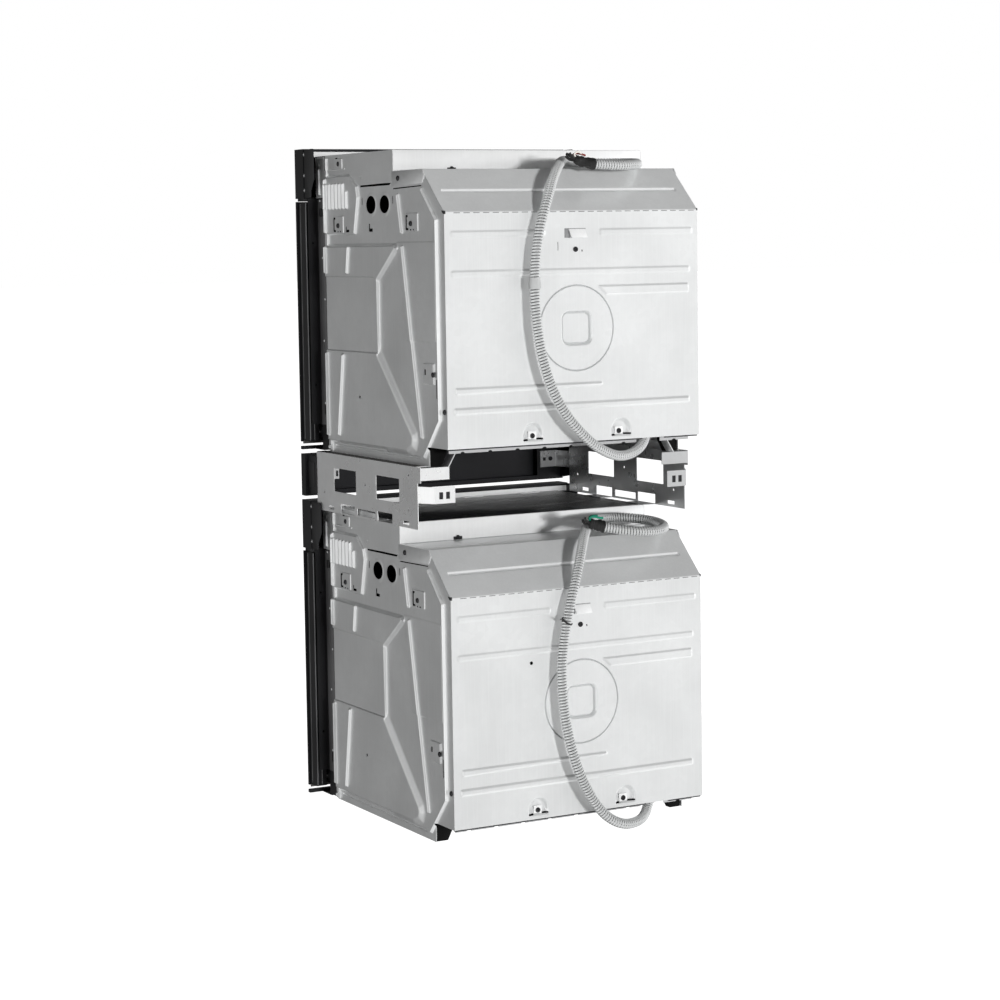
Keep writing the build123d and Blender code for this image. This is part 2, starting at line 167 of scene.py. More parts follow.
def enamel(name, color, rough=0.35, speck=None, bump=0.05):
    """Painted or enamelled sheet with a little orange peel."""
    m = Mat(name, color, 0.0, rough)
    peel = m.noise(320.0, 2.0, 0.5)
    cloud = m.noise(11.0, 3.0, 0.5)
    base = m.ramp(cloud, [(0.3, tuple(c * 0.8 for c in color)), (0.75, tuple(c * 1.25 for c in color))])
    if speck:
        dots = m.cells(900.0)
        pick = m.ramp(dots.outputs["Distance"], [(0.0, (1, 1, 1)), (0.16, (1, 1, 1)), (0.2, (0, 0, 0))])
        keep = m.ramp(m.noise(240.0, 1.0), [(0.52, (0, 0, 0)), (0.56, (1, 1, 1))])
        both = m.mix(pick, keep, 1.0, "MULTIPLY")
        base = m.mix(base, speck, both)
    m.set("Base Color", base)
    m.set("Roughness", m.remap(cloud, rough * 0.85, rough * 1.25, 0.3, 0.7))
    m.bump(peel, bump, 0.0006)
    return m.m


def brushed(name, color, along, rough=(0.22, 0.36), metallic=1.0):
    """Steel brushed along one axis (0, 1 or 2)."""
    m = Mat(name, color, metallic)
    st = [420.0, 420.0, 420.0]
    st[along] = 4.0
    lines = m.noise(1.0, 3.0, 0.65, stretch=tuple(st))
    m.set("Base Color", m.ramp(lines, [(0.3, tuple(c * 0.86 for c in color)), (0.7, tuple(min(1, c * 1.08) for c in color))]))
    m.set("Roughness", m.remap(lines, rough[0], rough[1], 0.3, 0.7))
    m.bump(lines, 0.08, 0.0003)
    return m.m


def plastic(name, color, rough=0.45, grain=900.0, bump=0.08, **sockets):
    m = Mat(name, color, 0.0, rough, **sockets)
    g = m.noise(grain, 2.0, 0.6)
    cl = m.noise(18.0, 3.0)
    m.set("Base Color", m.ramp(cl, [(0.3, tuple(c * 0.85 for c in color)), (0.7, tuple(min(1, c * 1.15) for c in color))]))
    m.set("Roughness", m.remap(g, rough * 0.9, rough * 1.15, 0.3, 0.7))
    m.bump(g, bump, 0.0004)
    return m.m


def glass(name, color, alpha_like=None, rough=0.03):
    m = Mat(name, color, 0.0, rough, IOR=1.5)
    if alpha_like is not None:
        m.b.inputs["Transmission Weight"].default_value = alpha_like
    smear = m.noise(26.0, 4.0, 0.6)
    m.set("Roughness", m.remap(smear, rough, rough + 0.05, 0.4, 0.8))
    return m.m


MATS = {
    "galvanised_sheet": galvanised("galvanised_sheet"),
    "black_enamel": enamel("black_enamel", (0.009, 0.009, 0.010), 0.33),
    "door_glass": glass("door_glass", (0.006, 0.006, 0.007)),
    "clear_glass": glass("clear_glass", (0.86, 0.91, 0.9), 0.92),
    "cavity_enamel": enamel("cavity_enamel", (0.020, 0.022, 0.028), 0.22, speck=(0.32, 0.35, 0.4)),
    "seal_rubber": plastic("seal_rubber", (0.055, 0.052, 0.05), 0.7, 1500.0, 0.4),
    "heater_tube": brushed("heater_tube", (0.16, 0.15, 0.14), 1, (0.4, 0.6), 0.9),
    "fan_steel": brushed("fan_steel", (0.6, 0.6, 0.59), 2),
    "motor_steel": enamel("motor_steel", (0.3, 0.31, 0.32), 0.4),
    "lamp_glass": glass("lamp_glass", (0.95, 0.93, 0.86), 0.75, 0.08),
    "rack_wire": brushed("rack_wire", (0.72, 0.72, 0.73), 1, (0.08, 0.16)),
    "handle_steel": brushed("handle_steel", (0.62, 0.62, 0.63), 0, (0.2, 0.32)),
    "hinge_steel": brushed("hinge_steel", (0.5, 0.5, 0.51), 0),
    "wire_sleeve": plastic("wire_sleeve", (0.012, 0.012, 0.012), 0.42, 700.0, 0.2),
    "foot_plastic": plastic("foot_plastic", (0.004, 0.004, 0.004), 0.55, 1100.0, 0.15, Specular_IOR_Level=0.1),
    "tie_plastic": plastic("tie_plastic", (0.5, 0.51, 0.51), 0.35),
    "screw_steel": brushed("screw_steel", (0.055, 0.055, 0.058), 2, (0.3, 0.45), 0.8),
    "conduit_metal": galvanised("conduit_metal", (0.68, 0.69, 0.69), 0.6, (0.30, 0.42), 0.08),
    # paler, less metallic copy of the sheet: painted light
    "galvanised_painted_light": galvanised("galvanised_painted_light", (0.83, 0.835, 0.835), 0.35, (0.4, 0.5)),
    # darker copy of the sheet: painted shade
    "galvanised_painted_shade": galvanised("galvanised_painted_shade", (0.33, 0.335, 0.34), 0.55, (0.4, 0.5)),
    # near-black brushed tint of the top plates: painted dark reflection of their surroundings, not the sheet's own
    # colour
    "cover_painted_reflection": brushed("cover_painted_reflection", (0.13, 0.13, 0.135), 0, (0.2, 0.42), 0.9),
    # paler, less metallic copy of the sheet for the cooling cover: painted light
    "cover_back_painted_light": galvanised("cover_back_painted_light", (0.80, 0.805, 0.805), 0.46, (0.28, 0.36)),
    # spacer plates: a paler copy of the sheet for the near plate (painted light) and a darker copy for the far plate
    # (painted shade)
    "spacer_steel": galvanised("spacer_steel", (0.86, 0.865, 0.865), 0.54, (0.26, 0.34)),
    "spacer_far_painted_shade": galvanised("spacer_far_painted_shade", (0.66, 0.665, 0.67), 0.72, (0.26, 0.34)),
    # darker copy of the sheet: painted shade
    "lip_painted_shade": galvanised("lip_painted_shade", (0.55, 0.555, 0.56), 0.55, (0.3, 0.4)),
    "print_grey": enamel("print_grey", (0.22, 0.22, 0.225), 0.4),
    # dark copy of the sheet: painted shade
    "base_painted_shade": galvanised("base_painted_shade", (0.2, 0.2, 0.205), 0.6, (0.35, 0.45)),
    # dark grey for the lower column faces: painted shade
    "column_painted_shade": enamel("column_painted_shade", (0.085, 0.085, 0.087), 0.38),
    # grey lighter than the black enamel for the door edge lines: painted highlight
    "edge_painted_highlight": enamel("edge_painted_highlight", (0.11, 0.111, 0.113), 0.33),
    # near-black for the conduit's groove faces: painted shade in the creases
    "conduit_crease_painted_shade": plastic("conduit_crease_painted_shade", (0.05, 0.05, 0.05), 0.6),
}


def assign(obj, material):
    obj.data.materials.clear()
    obj.data.materials.append(material)


for sub in frame["record"]["subparts"]:
    assign(NODES[sub["node"]], MATS[sub["material_slot"]])


# base panels and terminal boxes in the dark copy of the sheet: painted shade
for prefix, base in OVENS:
    assign(NODES[f"{prefix}_base_panel"], MATS["base_painted_shade"])
    assign(NODES[f"{prefix}_terminal_box"], MATS["base_painted_shade"])
# the near spacer plate takes the paler tint (painted light), the far one the darker tint (painted shade)
for side in ("right", "left"):
    assign(NODES[f"spacer_plate_{side}"], MATS["spacer_steel" if side == "right" else "spacer_far_painted_shade"])


# ---------------------------------------------------------------- mesh helpers
def add(name, verts, faces, slot=None, body="frame", material=None, angle=35.0, place=True):
    """A mesh in millimetres, in the stack's own frame, that rides on a body."""
    me = bpy.data.meshes.new(name)
    me.from_pydata([(x / 1000, y / 1000, z / 1000) for x, y, z in verts], [], faces)
    me.validate()
    bm = bmesh.new()
    bm.from_mesh(me)
    bmesh.ops.recalc_face_normals(bm, faces=bm.faces)
    bm.to_mesh(me)
    bm.free()
    for p in me.polygons:
        p.use_smooth = True
    me.set_sharp_from_angle(angle=math.radians(angle))
    ob = bpy.data.objects.new(name, me)
    SCENE.collection.objects.link(ob)
    me.materials.append(material or MATS[slot])
    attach(ob, body)
    return ob


class Build:
    """Collects closed shapes into one mesh."""

    def __init__(self):
        self.v, self.f = [], []

    def put(self, verts, faces):
        n = len(self.v)
        self.v += [tuple(p) for p in verts]
        self.f += [tuple(i + n for i in f) for f in faces]

    def prism(self, poly, axis, lo, hi, bevel=0.0, steps=2):
        """Extrudes a polygon along an axis, with its two rims rounded by bevel."""
        pts = [Vector(p) for p in poly]
        area = sum(pts[i - 1].x * pts[i].y - pts[i].x * pts[i - 1].y for i in range(len(pts)))
        if area < 0:
            pts.reverse()
        rings = []
        if bevel > 0:
            for i in range(steps + 1):
                a = math.pi / 2 * i / steps
                rings.append((offset_poly(pts, bevel * (1 - math.sin(a))), lo + bevel * (1 - math.cos(a))))
            for i in range(steps + 1):
                a = math.pi / 2 * (1 - i / steps)
                rings.append((offset_poly(pts, bevel * (1 - math.sin(a))), hi - bevel * (1 - math.cos(a))))
        else:
            rings = [(pts, lo), (pts, hi)]
        n, base = len(pts), len(self.v)
        for ring, w in rings:
            for p in ring:
                self.v.append({"x": (w, p[0], p[1]), "y": (p[0], w, p[1]), "z": (p[0], p[1], w)}[axis])
        for r in range(len(rings) - 1):
            for i in range(n):
                j = (i + 1) % n
                a, b = base + r * n, base + (r + 1) * n
                self.f.append((a + i, a + j, b + j, b + i))
        self.f.append(tuple(base + i for i in range(n))[::-1])
        self.f.append(tuple(base + (len(rings) - 1) * n + i for i in range(n)))

    def box(self, x0, x1, y0, y1, z0, z1, bevel=0.4):
        bevel = min(bevel, (x1 - x0) / 2.2, (y1 - y0) / 2.2, (z1 - z0) / 2.2)
        self.prism(rounded([(x0, y0), (x1, y0), (x1, y1), (x0, y1)], bevel, 2), "z", z0, z1, bevel)

    def turned(self, profile, center, axis, n=28):
        """Revolves (along, radius) pairs about an axis through center."""
        ax = Vector(axis).normalized()
        u = ax.orthogonal().normalized()
        w = ax.cross(u)
        c, base = Vector(center), len(self.v)
        for along, r in profile:
            for i in range(n):
                a = 2 * math.pi * i / n
                self.v.append(tuple(c + ax * along + (u * math.cos(a) + w * math.sin(a)) * max(r, 0.001)))
        for k in range(len(profile) - 1):
            for i in range(n):
                j = (i + 1) % n
                self.f.append((base + k * n + i, base + k * n + j, base + (k + 1) * n + j, base + (k + 1) * n + i))
        self.f.append(tuple(base + i for i in range(n))[::-1])
        self.f.append(tuple(base + (len(profile) - 1) * n + i for i in range(n)))

    def tube(self, points, radius, n=12):
        pts = [Vector(p) for p in points]
        base = len(self.v)
        tan = [(pts[min(i + 1, len(pts) - 1)] - pts[max(i - 1, 0)]).normalized() for i in range(len(pts))]
        u = tan[0].orthogonal().normalized()
        for i, p in enumerate(pts):
            if i:
                u = (u - tan[i] * u.dot(tan[i])).normalized()
            w = tan[i].cross(u)
            for k in range(n):
                a = 2 * math.pi * k / n
                self.v.append(tuple(p + (u * math.cos(a) + w * math.sin(a)) * radius))
        for i in range(len(pts) - 1):
            for k in range(n):
                j = (k + 1) % n
                self.f.append((base + i * n + k, base + i * n + j, base + (i + 1) * n + j, base + (i + 1) * n + k))
        self.f.append(tuple(base + k for k in range(n))[::-1])
        self.f.append(tuple(base + (len(pts) - 1) * n + k for k in range(n)))

    def done(self, name, slot=None, body="frame", material=None, angle=35.0):
        return add(name, self.v, self.f, slot, body, material, angle)


def offset_poly(pts, d):
    """The polygon (counterclockwise) moved inwards by d."""
    pts = [Vector((p[0], p[1])) for p in pts]
    out, n = [], len(pts)
    for i in range(n):
        e1 = (pts[i] - pts[i - 1]).normalized()
        e2 = (pts[(i + 1) % n] - pts[i]).normalized()
        n1, n2 = Vector((-e1.y, e1.x)), Vector((-e2.y, e2.x))
        out.append(pts[i] + (n1 + n2) * (d / max(0.25, 1 + n1.dot(n2))))
    return out


def rounded(pts, r, steps=4):
    """The polygon with its corners rounded by r (one number or one per corner)."""
    pts = [Vector(p) for p in pts]
    n, out = len(pts), []
    for i in range(n):
        ri = r[i] if isinstance(r, (list, tuple)) else r
        a, b, c = pts[i - 1], pts[i], pts[(i + 1) % n]
        if ri <= 1e-6:
            out.append(b)
            continue
        d1, d2 = (a - b).normalized(), (c - b).normalized()
        ang = math.acos(max(-1, min(1, d1.dot(d2))))
        t = min(ri / math.tan(ang / 2), (a - b).length * 0.49, (c - b).length * 0.49)
        rr = t * math.tan(ang / 2)
        mid = b + (d1 + d2).normalized() * (rr / math.sin(ang / 2))
        p1, p2 = b + d1 * t, b + d2 * t
        v1, v2 = p1 - mid, p2 - mid
        total = v1.angle_signed(v2)
        for k in range(steps + 1):
            out.append(mid + Matrix.Rotation(-total * k / steps, 2) @ v1)
    return out


def circle(x, y, r, n=40):
    return [Vector((x + r * math.cos(2 * math.pi * i / n), y + r * math.sin(2 * math.pi * i / n))) for i in range(n)]


# ---------------------------------------------------------------- pressed sheet
def ccw(pts):
    pts = [Vector((p[0], p[1])) for p in pts]
    area = sum(pts[i - 1].x * pts[i].y - pts[i].x * pts[i - 1].y for i in range(len(pts)))
    return pts if area > 0 else pts[::-1]


def plateau(pts, h, b=None, add=False, r=0.0, ramp=None):
    """A raised (or sunk, h < 0) area with a sloped edge b wide; ramp = (v0, v1) lets its height grow from v0 to v1."""
    pts = ccw(pts)
    if r:
        pts = ccw(rounded(pts, r, 3))
    return {"pts": pts, "h": h, "b": b or abs(h), "add": add, "kind": "area", "ramp": ramp}


def bead(line, h, top=2.0, b=None, taper=1.0, add=True):
    """A pressed bead along a line of points; taper scales its width towards the far end."""
    b = b or h
    line = [Vector(p) for p in line]
    n = len(line)
    left, right = [], []
    for i, p in enumerate(line):
        d1 = (line[i] - line[i - 1]).normalized() if i else (line[1] - line[0]).normalized()
        d2 = (line[i + 1] - line[i]).normalized() if i < n - 1 else d1
        n1, n2 = Vector((-d1.y, d1.x)), Vector((-d2.y, d2.x))
        half = (b + top / 2) * (1 + (taper - 1) * i / (n - 1))
        m = (n1 + n2) * (half / (1 + n1.dot(n2)))
        left.append(p + m)
        right.append(p - m)
    return {"pts": ccw(rounded(ccw(left + right[::-1]), b * 0.7, 3)), "h": h, "b": b, "add": add, "kind": "area"}


def groove_ring(pts, h, w):
    return {"pts": ccw(pts), "h": h, "b": w, "add": True, "kind": "ring"}


def inside_and_distance(q, poly):
    """For points q (n, 2): whether each is inside the polygon, and its distance to the outline."""
    p = np.array([(v[0], v[1]) for v in poly], float)
    a, b = p, np.roll(p, -1, axis=0)
    inside = np.zeros(len(q), bool)
    best = np.full(len(q), 1e9)
    for (ax, ay), (bx_, by_) in zip(a, b):
        cond = (ay > q[:, 1]) != (by_ > q[:, 1])
        with np.errstate(divide="ignore", invalid="ignore"):
            xx = (bx_ - ax) * (q[:, 1] - ay) / (by_ - ay + 1e-30) + ax
        inside ^= cond & (q[:, 0] < xx)
        d = np.array([bx_ - ax, by_ - ay])
        t = np.clip(((q - (ax, ay)) @ d) / (d @ d + 1e-12), 0, 1)
        best = np.minimum(best, np.hypot(q[:, 0] - ax - t * d[0], q[:, 1] - ay - t * d[1]))
    return inside, best


def relief(q, feats):
    up, down, extra = np.zeros(len(q)), np.zeros(len(q)), np.zeros(len(q))
    for f in feats:
        ins, dist = inside_and_distance(q, f["pts"])
        if f["kind"] == "ring":
            t = np.clip(1 - dist / f["b"], 0, 1)
        else:
            t = np.where(ins, np.clip(dist / f["b"], 0, 1), 0.0)
        hgt = f["h"] * t * t * (3 - 2 * t)
        if f.get("ramp"):
            v0, v1 = f["ramp"]
            hgt = hgt * np.clip((q[:, 1] - v0) / (v1 - v0), 0, 1)
        if f["add"]:
            extra += hgt
        elif f["h"] > 0:
            up = np.maximum(up, hgt)
        else:
            down = np.minimum(down, hgt)
    return up + down + extra


def pressed(name, outline, holes, feats, place, thick, slot, lines=(), body="frame", material=None, flip=False):
    """A sheet cut to outline, with holes and pressed features, as one closed shell. place(u, v, h) maps it to the stack."""
    pts, edges = [], []

    def loop(poly, closed=True):
        n = len(pts)
        pts.extend(Vector((p[0], p[1])) for p in poly)
        m = len(poly)
        edges.extend((n + i, n + (i + 1) % m) for i in range(m if closed else m - 1))

    loop(outline)
    for h in holes:
        loop(h)
    for f in feats:
        if f["kind"] == "ring":
            for s in (-1.0, -0.5, 0.0, 0.5, 1.0):
                loop(offset_poly(f["pts"], s * f["b"]))
            continue
        for t in (0.0, 0.17, 0.34, 0.5, 0.66, 0.83, 1.0):
            loop(offset_poly(f["pts"], t * f["b"]))
        loop(offset_poly(f["pts"], -1.0))
        wide = f.get("wide", f["kind"] == "area" and not f["add"])
        if wide:
            loop(offset_poly(f["pts"], f["b"] + 1.0))
    for ln in lines:
        loop(ln, closed=False)
    vs, _, tris, _, _, _ = delaunay_2d_cdt(pts, edges, [], 0, 1e-4)
    q = np.array([(v.x, v.y) for v in vs], float)
    cen = np.array([q[list(t)].mean(axis=0) for t in tris])
    keep, _ = inside_and_distance(cen, outline)
    for h in holes:
        ins, _ = inside_and_distance(cen, h)
        keep &= ~ins
    tris = [t for t, k in zip(tris, keep) if k]
    hh = relief(q, feats)
    used = sorted({i for t in tris for i in t})
    index = {v: i for i, v in enumerate(used)}
    n = len(used)
    verts = [place(q[i][0], q[i][1], hh[i]) for i in used] + [place(q[i][0], q[i][1], hh[i] - thick) for i in used]
    count, faces = {}, []
    for t in tris:
        t = [index[i] for i in t]
        faces.append(tuple(t))
        faces.append(tuple(i + n for i in reversed(t)))
        for a, b in zip(t, t[1:] + t[:1]):
            count[(a, b)] = count.get((a, b), 0) + 1
    for (a, b) in count:
        if (b, a) not in count:
            faces.append((b, a, a + n, b + n))
    ob = add(name, verts, faces, slot, body, material, angle=50.0)
    flat = ob.modifiers.new("flat areas stay flat", "WEIGHTED_NORMAL")
    flat.keep_sharp = True
    flat.weight = 80
    return ob


# ---------------------------------------------------------------- camera and studio
def camera():
    yaw, pitch, roll = math.radians(28.0003), math.radians(4.43436), math.radians(-0.9889)
    fwd = -Vector((math.sin(yaw) * math.cos(pitch), math.cos(yaw) * math.cos(pitch), math.sin(pitch)))
    right = fwd.cross(Vector((0, 0, 1))).normalized()
    up = right.cross(fwd)
    r = math.cos(roll) * right + math.sin(roll) * up
    u = -math.sin(roll) * right + math.cos(roll) * up
    cam = bpy.data.cameras.new("camera")
    ob = bpy.data.objects.new("camera", cam)
    SCENE.collection.objects.link(ob)
    m = Matrix((r, u, -fwd)).transposed().to_4x4()
    m.translation = Vector((2.32060, 3.86549 + YB / 1000, 1.10632))
    ob.matrix_world = m
    cam.sensor_width = 36.0
    cam.lens = 2446.3 / 1000 * 36.0
    cam.shift_x, cam.shift_y = 0.05, -0.07
    cam.clip_end = 200
    SCENE.camera = ob


camera()


def studio():
    SCENE.view_settings.view_transform = "Standard"
    w = bpy.data.worlds.new("studio")
    SCENE.world = w
    w.use_nodes = True
    t = w.node_tree

    def math_(op, a, b=None, c=None):
        n = t.nodes.new("ShaderNodeMath")
        n.operation = op
        for k, v in enumerate((a, b, c)):
            if v is None:
                continue
            if isinstance(v, (int, float)):
                n.inputs[k].default_value = v
            else:
                t.links.new(v, n.inputs[k])
        return n.outputs[0]

    def smooth(v, a, b, lo, hi, kind="SMOOTHSTEP"):
        n = t.nodes.new("ShaderNodeMapRange")
        n.interpolation_type = kind
        for k, x in (("From Min", a), ("From Max", b), ("To Min", lo), ("To Max", hi)):
            n.inputs[k].default_value = x
        t.links.new(v, n.inputs["Value"])
        return n.outputs["Result"]

    # soft room round the stack: dim on the door side and overhead, a broad bright flat on either side of the back
    co = t.nodes.new("ShaderNodeTexCoord")
    sep = t.nodes.new("ShaderNodeSeparateXYZ")
    t.links.new(co.outputs["Generated"], sep.inputs["Vector"])
    x, y, z = sep.outputs
    turn = math_("ARCTAN2", y, math_("ABSOLUTE", x))
    ramp = t.nodes.new("ShaderNodeValToRGB")
    stops = [(-90, 0.03), (-72, 0.10), (-58, 0.18), (-42, 0.34), (-16, 0.98), (10, 1.25), (32, 1.4), (48, 0.66), (64, 0.44), (90, 0.42)]
    el = ramp.color_ramp.elements
    while len(el) < len(stops):
        el.new(0.5)
    for e, (deg, v) in zip(el, stops):
        e.position = (deg + 90) / 180
        e.color = (v, v, v, 1)
    t.links.new(smooth(turn, -math.pi / 2, math.pi / 2, 0.0, 1.0, "LINEAR"), ramp.inputs["Fac"])
    level = ramp.outputs["Color"]
    level = math_("MULTIPLY", level, smooth(z, 0.15, 0.6, 1.0, 0.12))
    level = math_("MULTIPLY", level, smooth(z, -0.5, 0.0, 0.8, 1.0))
    glow = t.nodes["Background"]
    t.links.new(level, glow.inputs["Strength"])
    glow.inputs["Color"].default_value = (1, 1, 1, 1)
    white = t.nodes.new("ShaderNodeBackground")
    white.inputs["Color"].default_value = (1, 1, 1, 1)
    path = t.nodes.new("ShaderNodeLightPath")
    mix = t.nodes.new("ShaderNodeMixShader")
    t.links.new(path.outputs["Is Camera Ray"], mix.inputs["Fac"])
    t.links.new(glow.outputs[0], mix.inputs[1])
    t.links.new(white.outputs[0], mix.inputs[2])
    t.links.new(mix.outputs[0], t.nodes["World Output"].inputs["Surface"])

    # pale floor, lit evenly from below its surface so that it stays near white
    me = bpy.data.meshes.new("floor")
    s = 60.0
    me.from_pydata([(-s, -s, 0), (s, -s, 0), (s, s, 0), (-s, s, 0)], [], [(0, 1, 2, 3)])
    floor = bpy.data.objects.new("floor", me)
    SCENE.collection.objects.link(floor)
    fm = Mat("floor_white", (0.27, 0.27, 0.27), 0.0, 0.9, Emission_Strength=1.1)
    fm.b.inputs["Emission Color"].default_value = (1, 1, 1, 1)
    fm.b.inputs["Specular IOR Level"].default_value = 0.0
    me.materials.append(fm.m)
    floor.visible_glossy = False
    floor.visible_diffuse = False

    def area(name, at, look, size, power, tall=None):
        li = bpy.data.lights.new(name, "AREA")
        li.shape = "RECTANGLE" if tall else "DISK"
        li.size = size
        if tall:
            li.size_y = tall
        li.energy = power
        o = bpy.data.objects.new(name, li)
        SCENE.collection.objects.link(o)
        o.location = at
        o.rotation_euler = (Vector(look) - Vector(at)).to_track_quat("-Z", "Y").to_euler()
        o.visible_camera = False
        o.visible_glossy = False

    sun = bpy.data.lights.new("key", "SUN")
    sun.energy = 4.05
    sun.angle = math.radians(6.0)
    ob = bpy.data.objects.new("key", sun)
    SCENE.collection.objects.link(ob)
    ob.location = (-0.7, 4.0, 1.2)
    ob.visible_glossy = False
    ob.rotation_euler = Vector((math.sin(math.radians(1.5)), -math.cos(math.radians(1.5)), -0.03)).to_track_quat("-Z", "Y").to_euler()
    area("fill_front", (-2.0, -3.4, 2.0), (0, 0, 0.7), 1.6, 45)


studio()


# ---------------------------------------------------------------- supply conduits
ROUTE_LOWER = [
    (-165, -26, 35), (-153, -14, 21), (-132, 4, 10.1), (-103, 26, 9.9), (-71, 39, 12), (-41, 42, 24), (-13, 41.5, 48), (11, 41, 84),
    (31, 40, 127), (46, 36.6, 180), (54.3, 32.8, 232.5), (58, 30.4, 293), (55.3, 28, 338), (45.7, 26.9, 393), (29, 24, 452), (-3, 0, 509),
    (-38, -44, 547), (-78, -95, 563), (-120, -146, 565), (-164, -170, 564), (-208, -156, 562), (-237, -110, 558), (-232, -60, 553),
    (-200, -26, 550), (-158, -16, 551), (-112, -24, 556), (-68, -42, 567)]
ROUTE_UPPER = [
    (-165, -26, 35), (-153, -14, 21), (-117, 2, 7), (-79, 16, 5.5), (-41, 28.5, 18), (-9.6, 36.4, 35), (21, 41, 61), (46.5, 41.2, 89),
    (67.5, 39.5, 124), (82.5, 37.5, 160), (95, 35, 208), (101.5, 32.5, 259), (103.2, 29.8, 313), (101.6, 28.4, 355), (95.6, 27.4, 401),
    (85.5, 26.5, 443), (66, 17, 483), (37, -13, 519), (0, -55, 546), (-40, -108, 557), (-80, -152, 556), (-126, -168, 554),
    (-168, -148, 553), (-190, -106, 552), (-182, -62, 549.5), (-148, -34, 546), (-106, -27, 545), (-62, -30, 548)]


def spline_points(route, base):
    """Points of the smooth line that has the route's points as its controls, in millimetres."""
    cu = bpy.data.curves.new("route", "CURVE")
    cu.dimensions = "3D"
    cu.resolution_u = 40
    sp = cu.splines.new("NURBS")
    sp.points.add(len(route) - 1)
    for p, (x, y, z) in zip(sp.points, route):
        p.co = (x / 1000, (y + YB) / 1000, (z + base) / 1000, 1.0)
    sp.order_u = 3
    sp.use_endpoint_u = True
    ob = bpy.data.objects.new("route", cu)
    SCENE.collection.objects.link(ob)
    bpy.context.view_layer.update()
    me = bpy.data.meshes.new_from_object(ob)
    pts = np.array([tuple(v.co) for v in me.vertices]) * 1000
    bpy.data.objects.remove(ob)
    bpy.data.curves.remove(cu)
    bpy.data.meshes.remove(me)
    return pts


def at_lengths(pts, step):
    seg = np.linalg.norm(np.diff(pts, axis=0), axis=1)
    s = np.concatenate([[0], np.cumsum(seg)])
    n = int(s[-1] / step)
    k = np.linspace(0, s[-1], n + 1)
    return np.stack([np.interp(k, s, pts[:, i]) for i in range(3)], axis=1), s[-1]


def transported(pts):
    tan = np.gradient(pts, axis=0)
    tan /= np.linalg.norm(tan, axis=1)[:, None]
    u = np.cross(tan[0], (0.3, 0.2, 0.9))
    u /= np.linalg.norm(u)
    us = []
    for t in tan:
        u = u - t * (u @ t)
        u /= np.linalg.norm(u)
        us.append(u)
    us = np.array(us)
    return tan, us, np.cross(tan, us)


def spiral_conduit(name, pts, radius, pitch, around=26, per=10):
    """Interlocked strip conduit: one rounded strip wound in a helix with a narrow groove between turns."""
    line, total = at_lengths(pts, pitch / per)
    tan, u, w = transported(line)
    a = 2 * np.pi * np.arange(around) / around
    s = np.linspace(0, total, len(line))
    phase = (s[:, None] / pitch - a[None, :] / (2 * np.pi)) % 1.0
    x = np.abs(2 * phase - 1)
    crown = np.sqrt(np.clip(1 - np.clip(x / 0.84, 0, 1) ** 2.6, 0, 1))
    r = radius - 2.4 + 2.4 * crown
    p = line[:, None, :] + (u[:, None, :] * np.cos(a)[None, :, None] + w[:, None, :] * np.sin(a)[None, :, None]) * r[:, :, None]
    m, n = len(line), around
    verts = [tuple(v) for v in p.reshape(-1, 3)]
    faces = [(i * n + k, i * n + (k + 1) % n, (i + 1) * n + (k + 1) % n, (i + 1) * n + k) for i in range(m - 1) for k in range(n)]
    faces += [tuple(range(n))[::-1], tuple((m - 1) * n + k for k in range(n))]
    ob = add(name, verts, faces, "conduit_metal", angle=70.0)
    # faces deep in the groove between turns get a near-black second material: painted shade in the creases
    ob.data.materials.append(MATS["conduit_crease_painted_shade"])
    low = crown < 0.55
    for poly in ob.data.polygons:
        ids = [v for v in poly.vertices]
        if len(ids) == 4 and sum(bool(low[v // n, v % n]) for v in ids) >= 3:
            poly.material_index = 1
    return ob, line, total


def frame_at(line, dist):
    seg = np.linalg.norm(np.diff(line, axis=0), axis=1)
    s = np.concatenate([[0], np.cumsum(seg)])
    i = int(np.clip(np.searchsorted(s, dist), 1, len(line) - 2))
    t = line[i + 1] - line[i - 1]
    return Vector(line[i]), Vector(t).normalized()


LEAD_COLORS = {
    "lead_green": (0.01, 0.16, 0.10),
    "lead_white": (0.62, 0.6, 0.56),
    "lead_red": (0.20, 0.045, 0.035),
    "lead_black": (0.012, 0.012, 0.012),
}
for key, col in LEAD_COLORS.items():
    MATS[key] = plastic(key, col, 0.4, 1200.0, 0.1)
MATS["copper"] = brushed("copper", (0.72, 0.38, 0.22), 0, (0.25, 0.4))


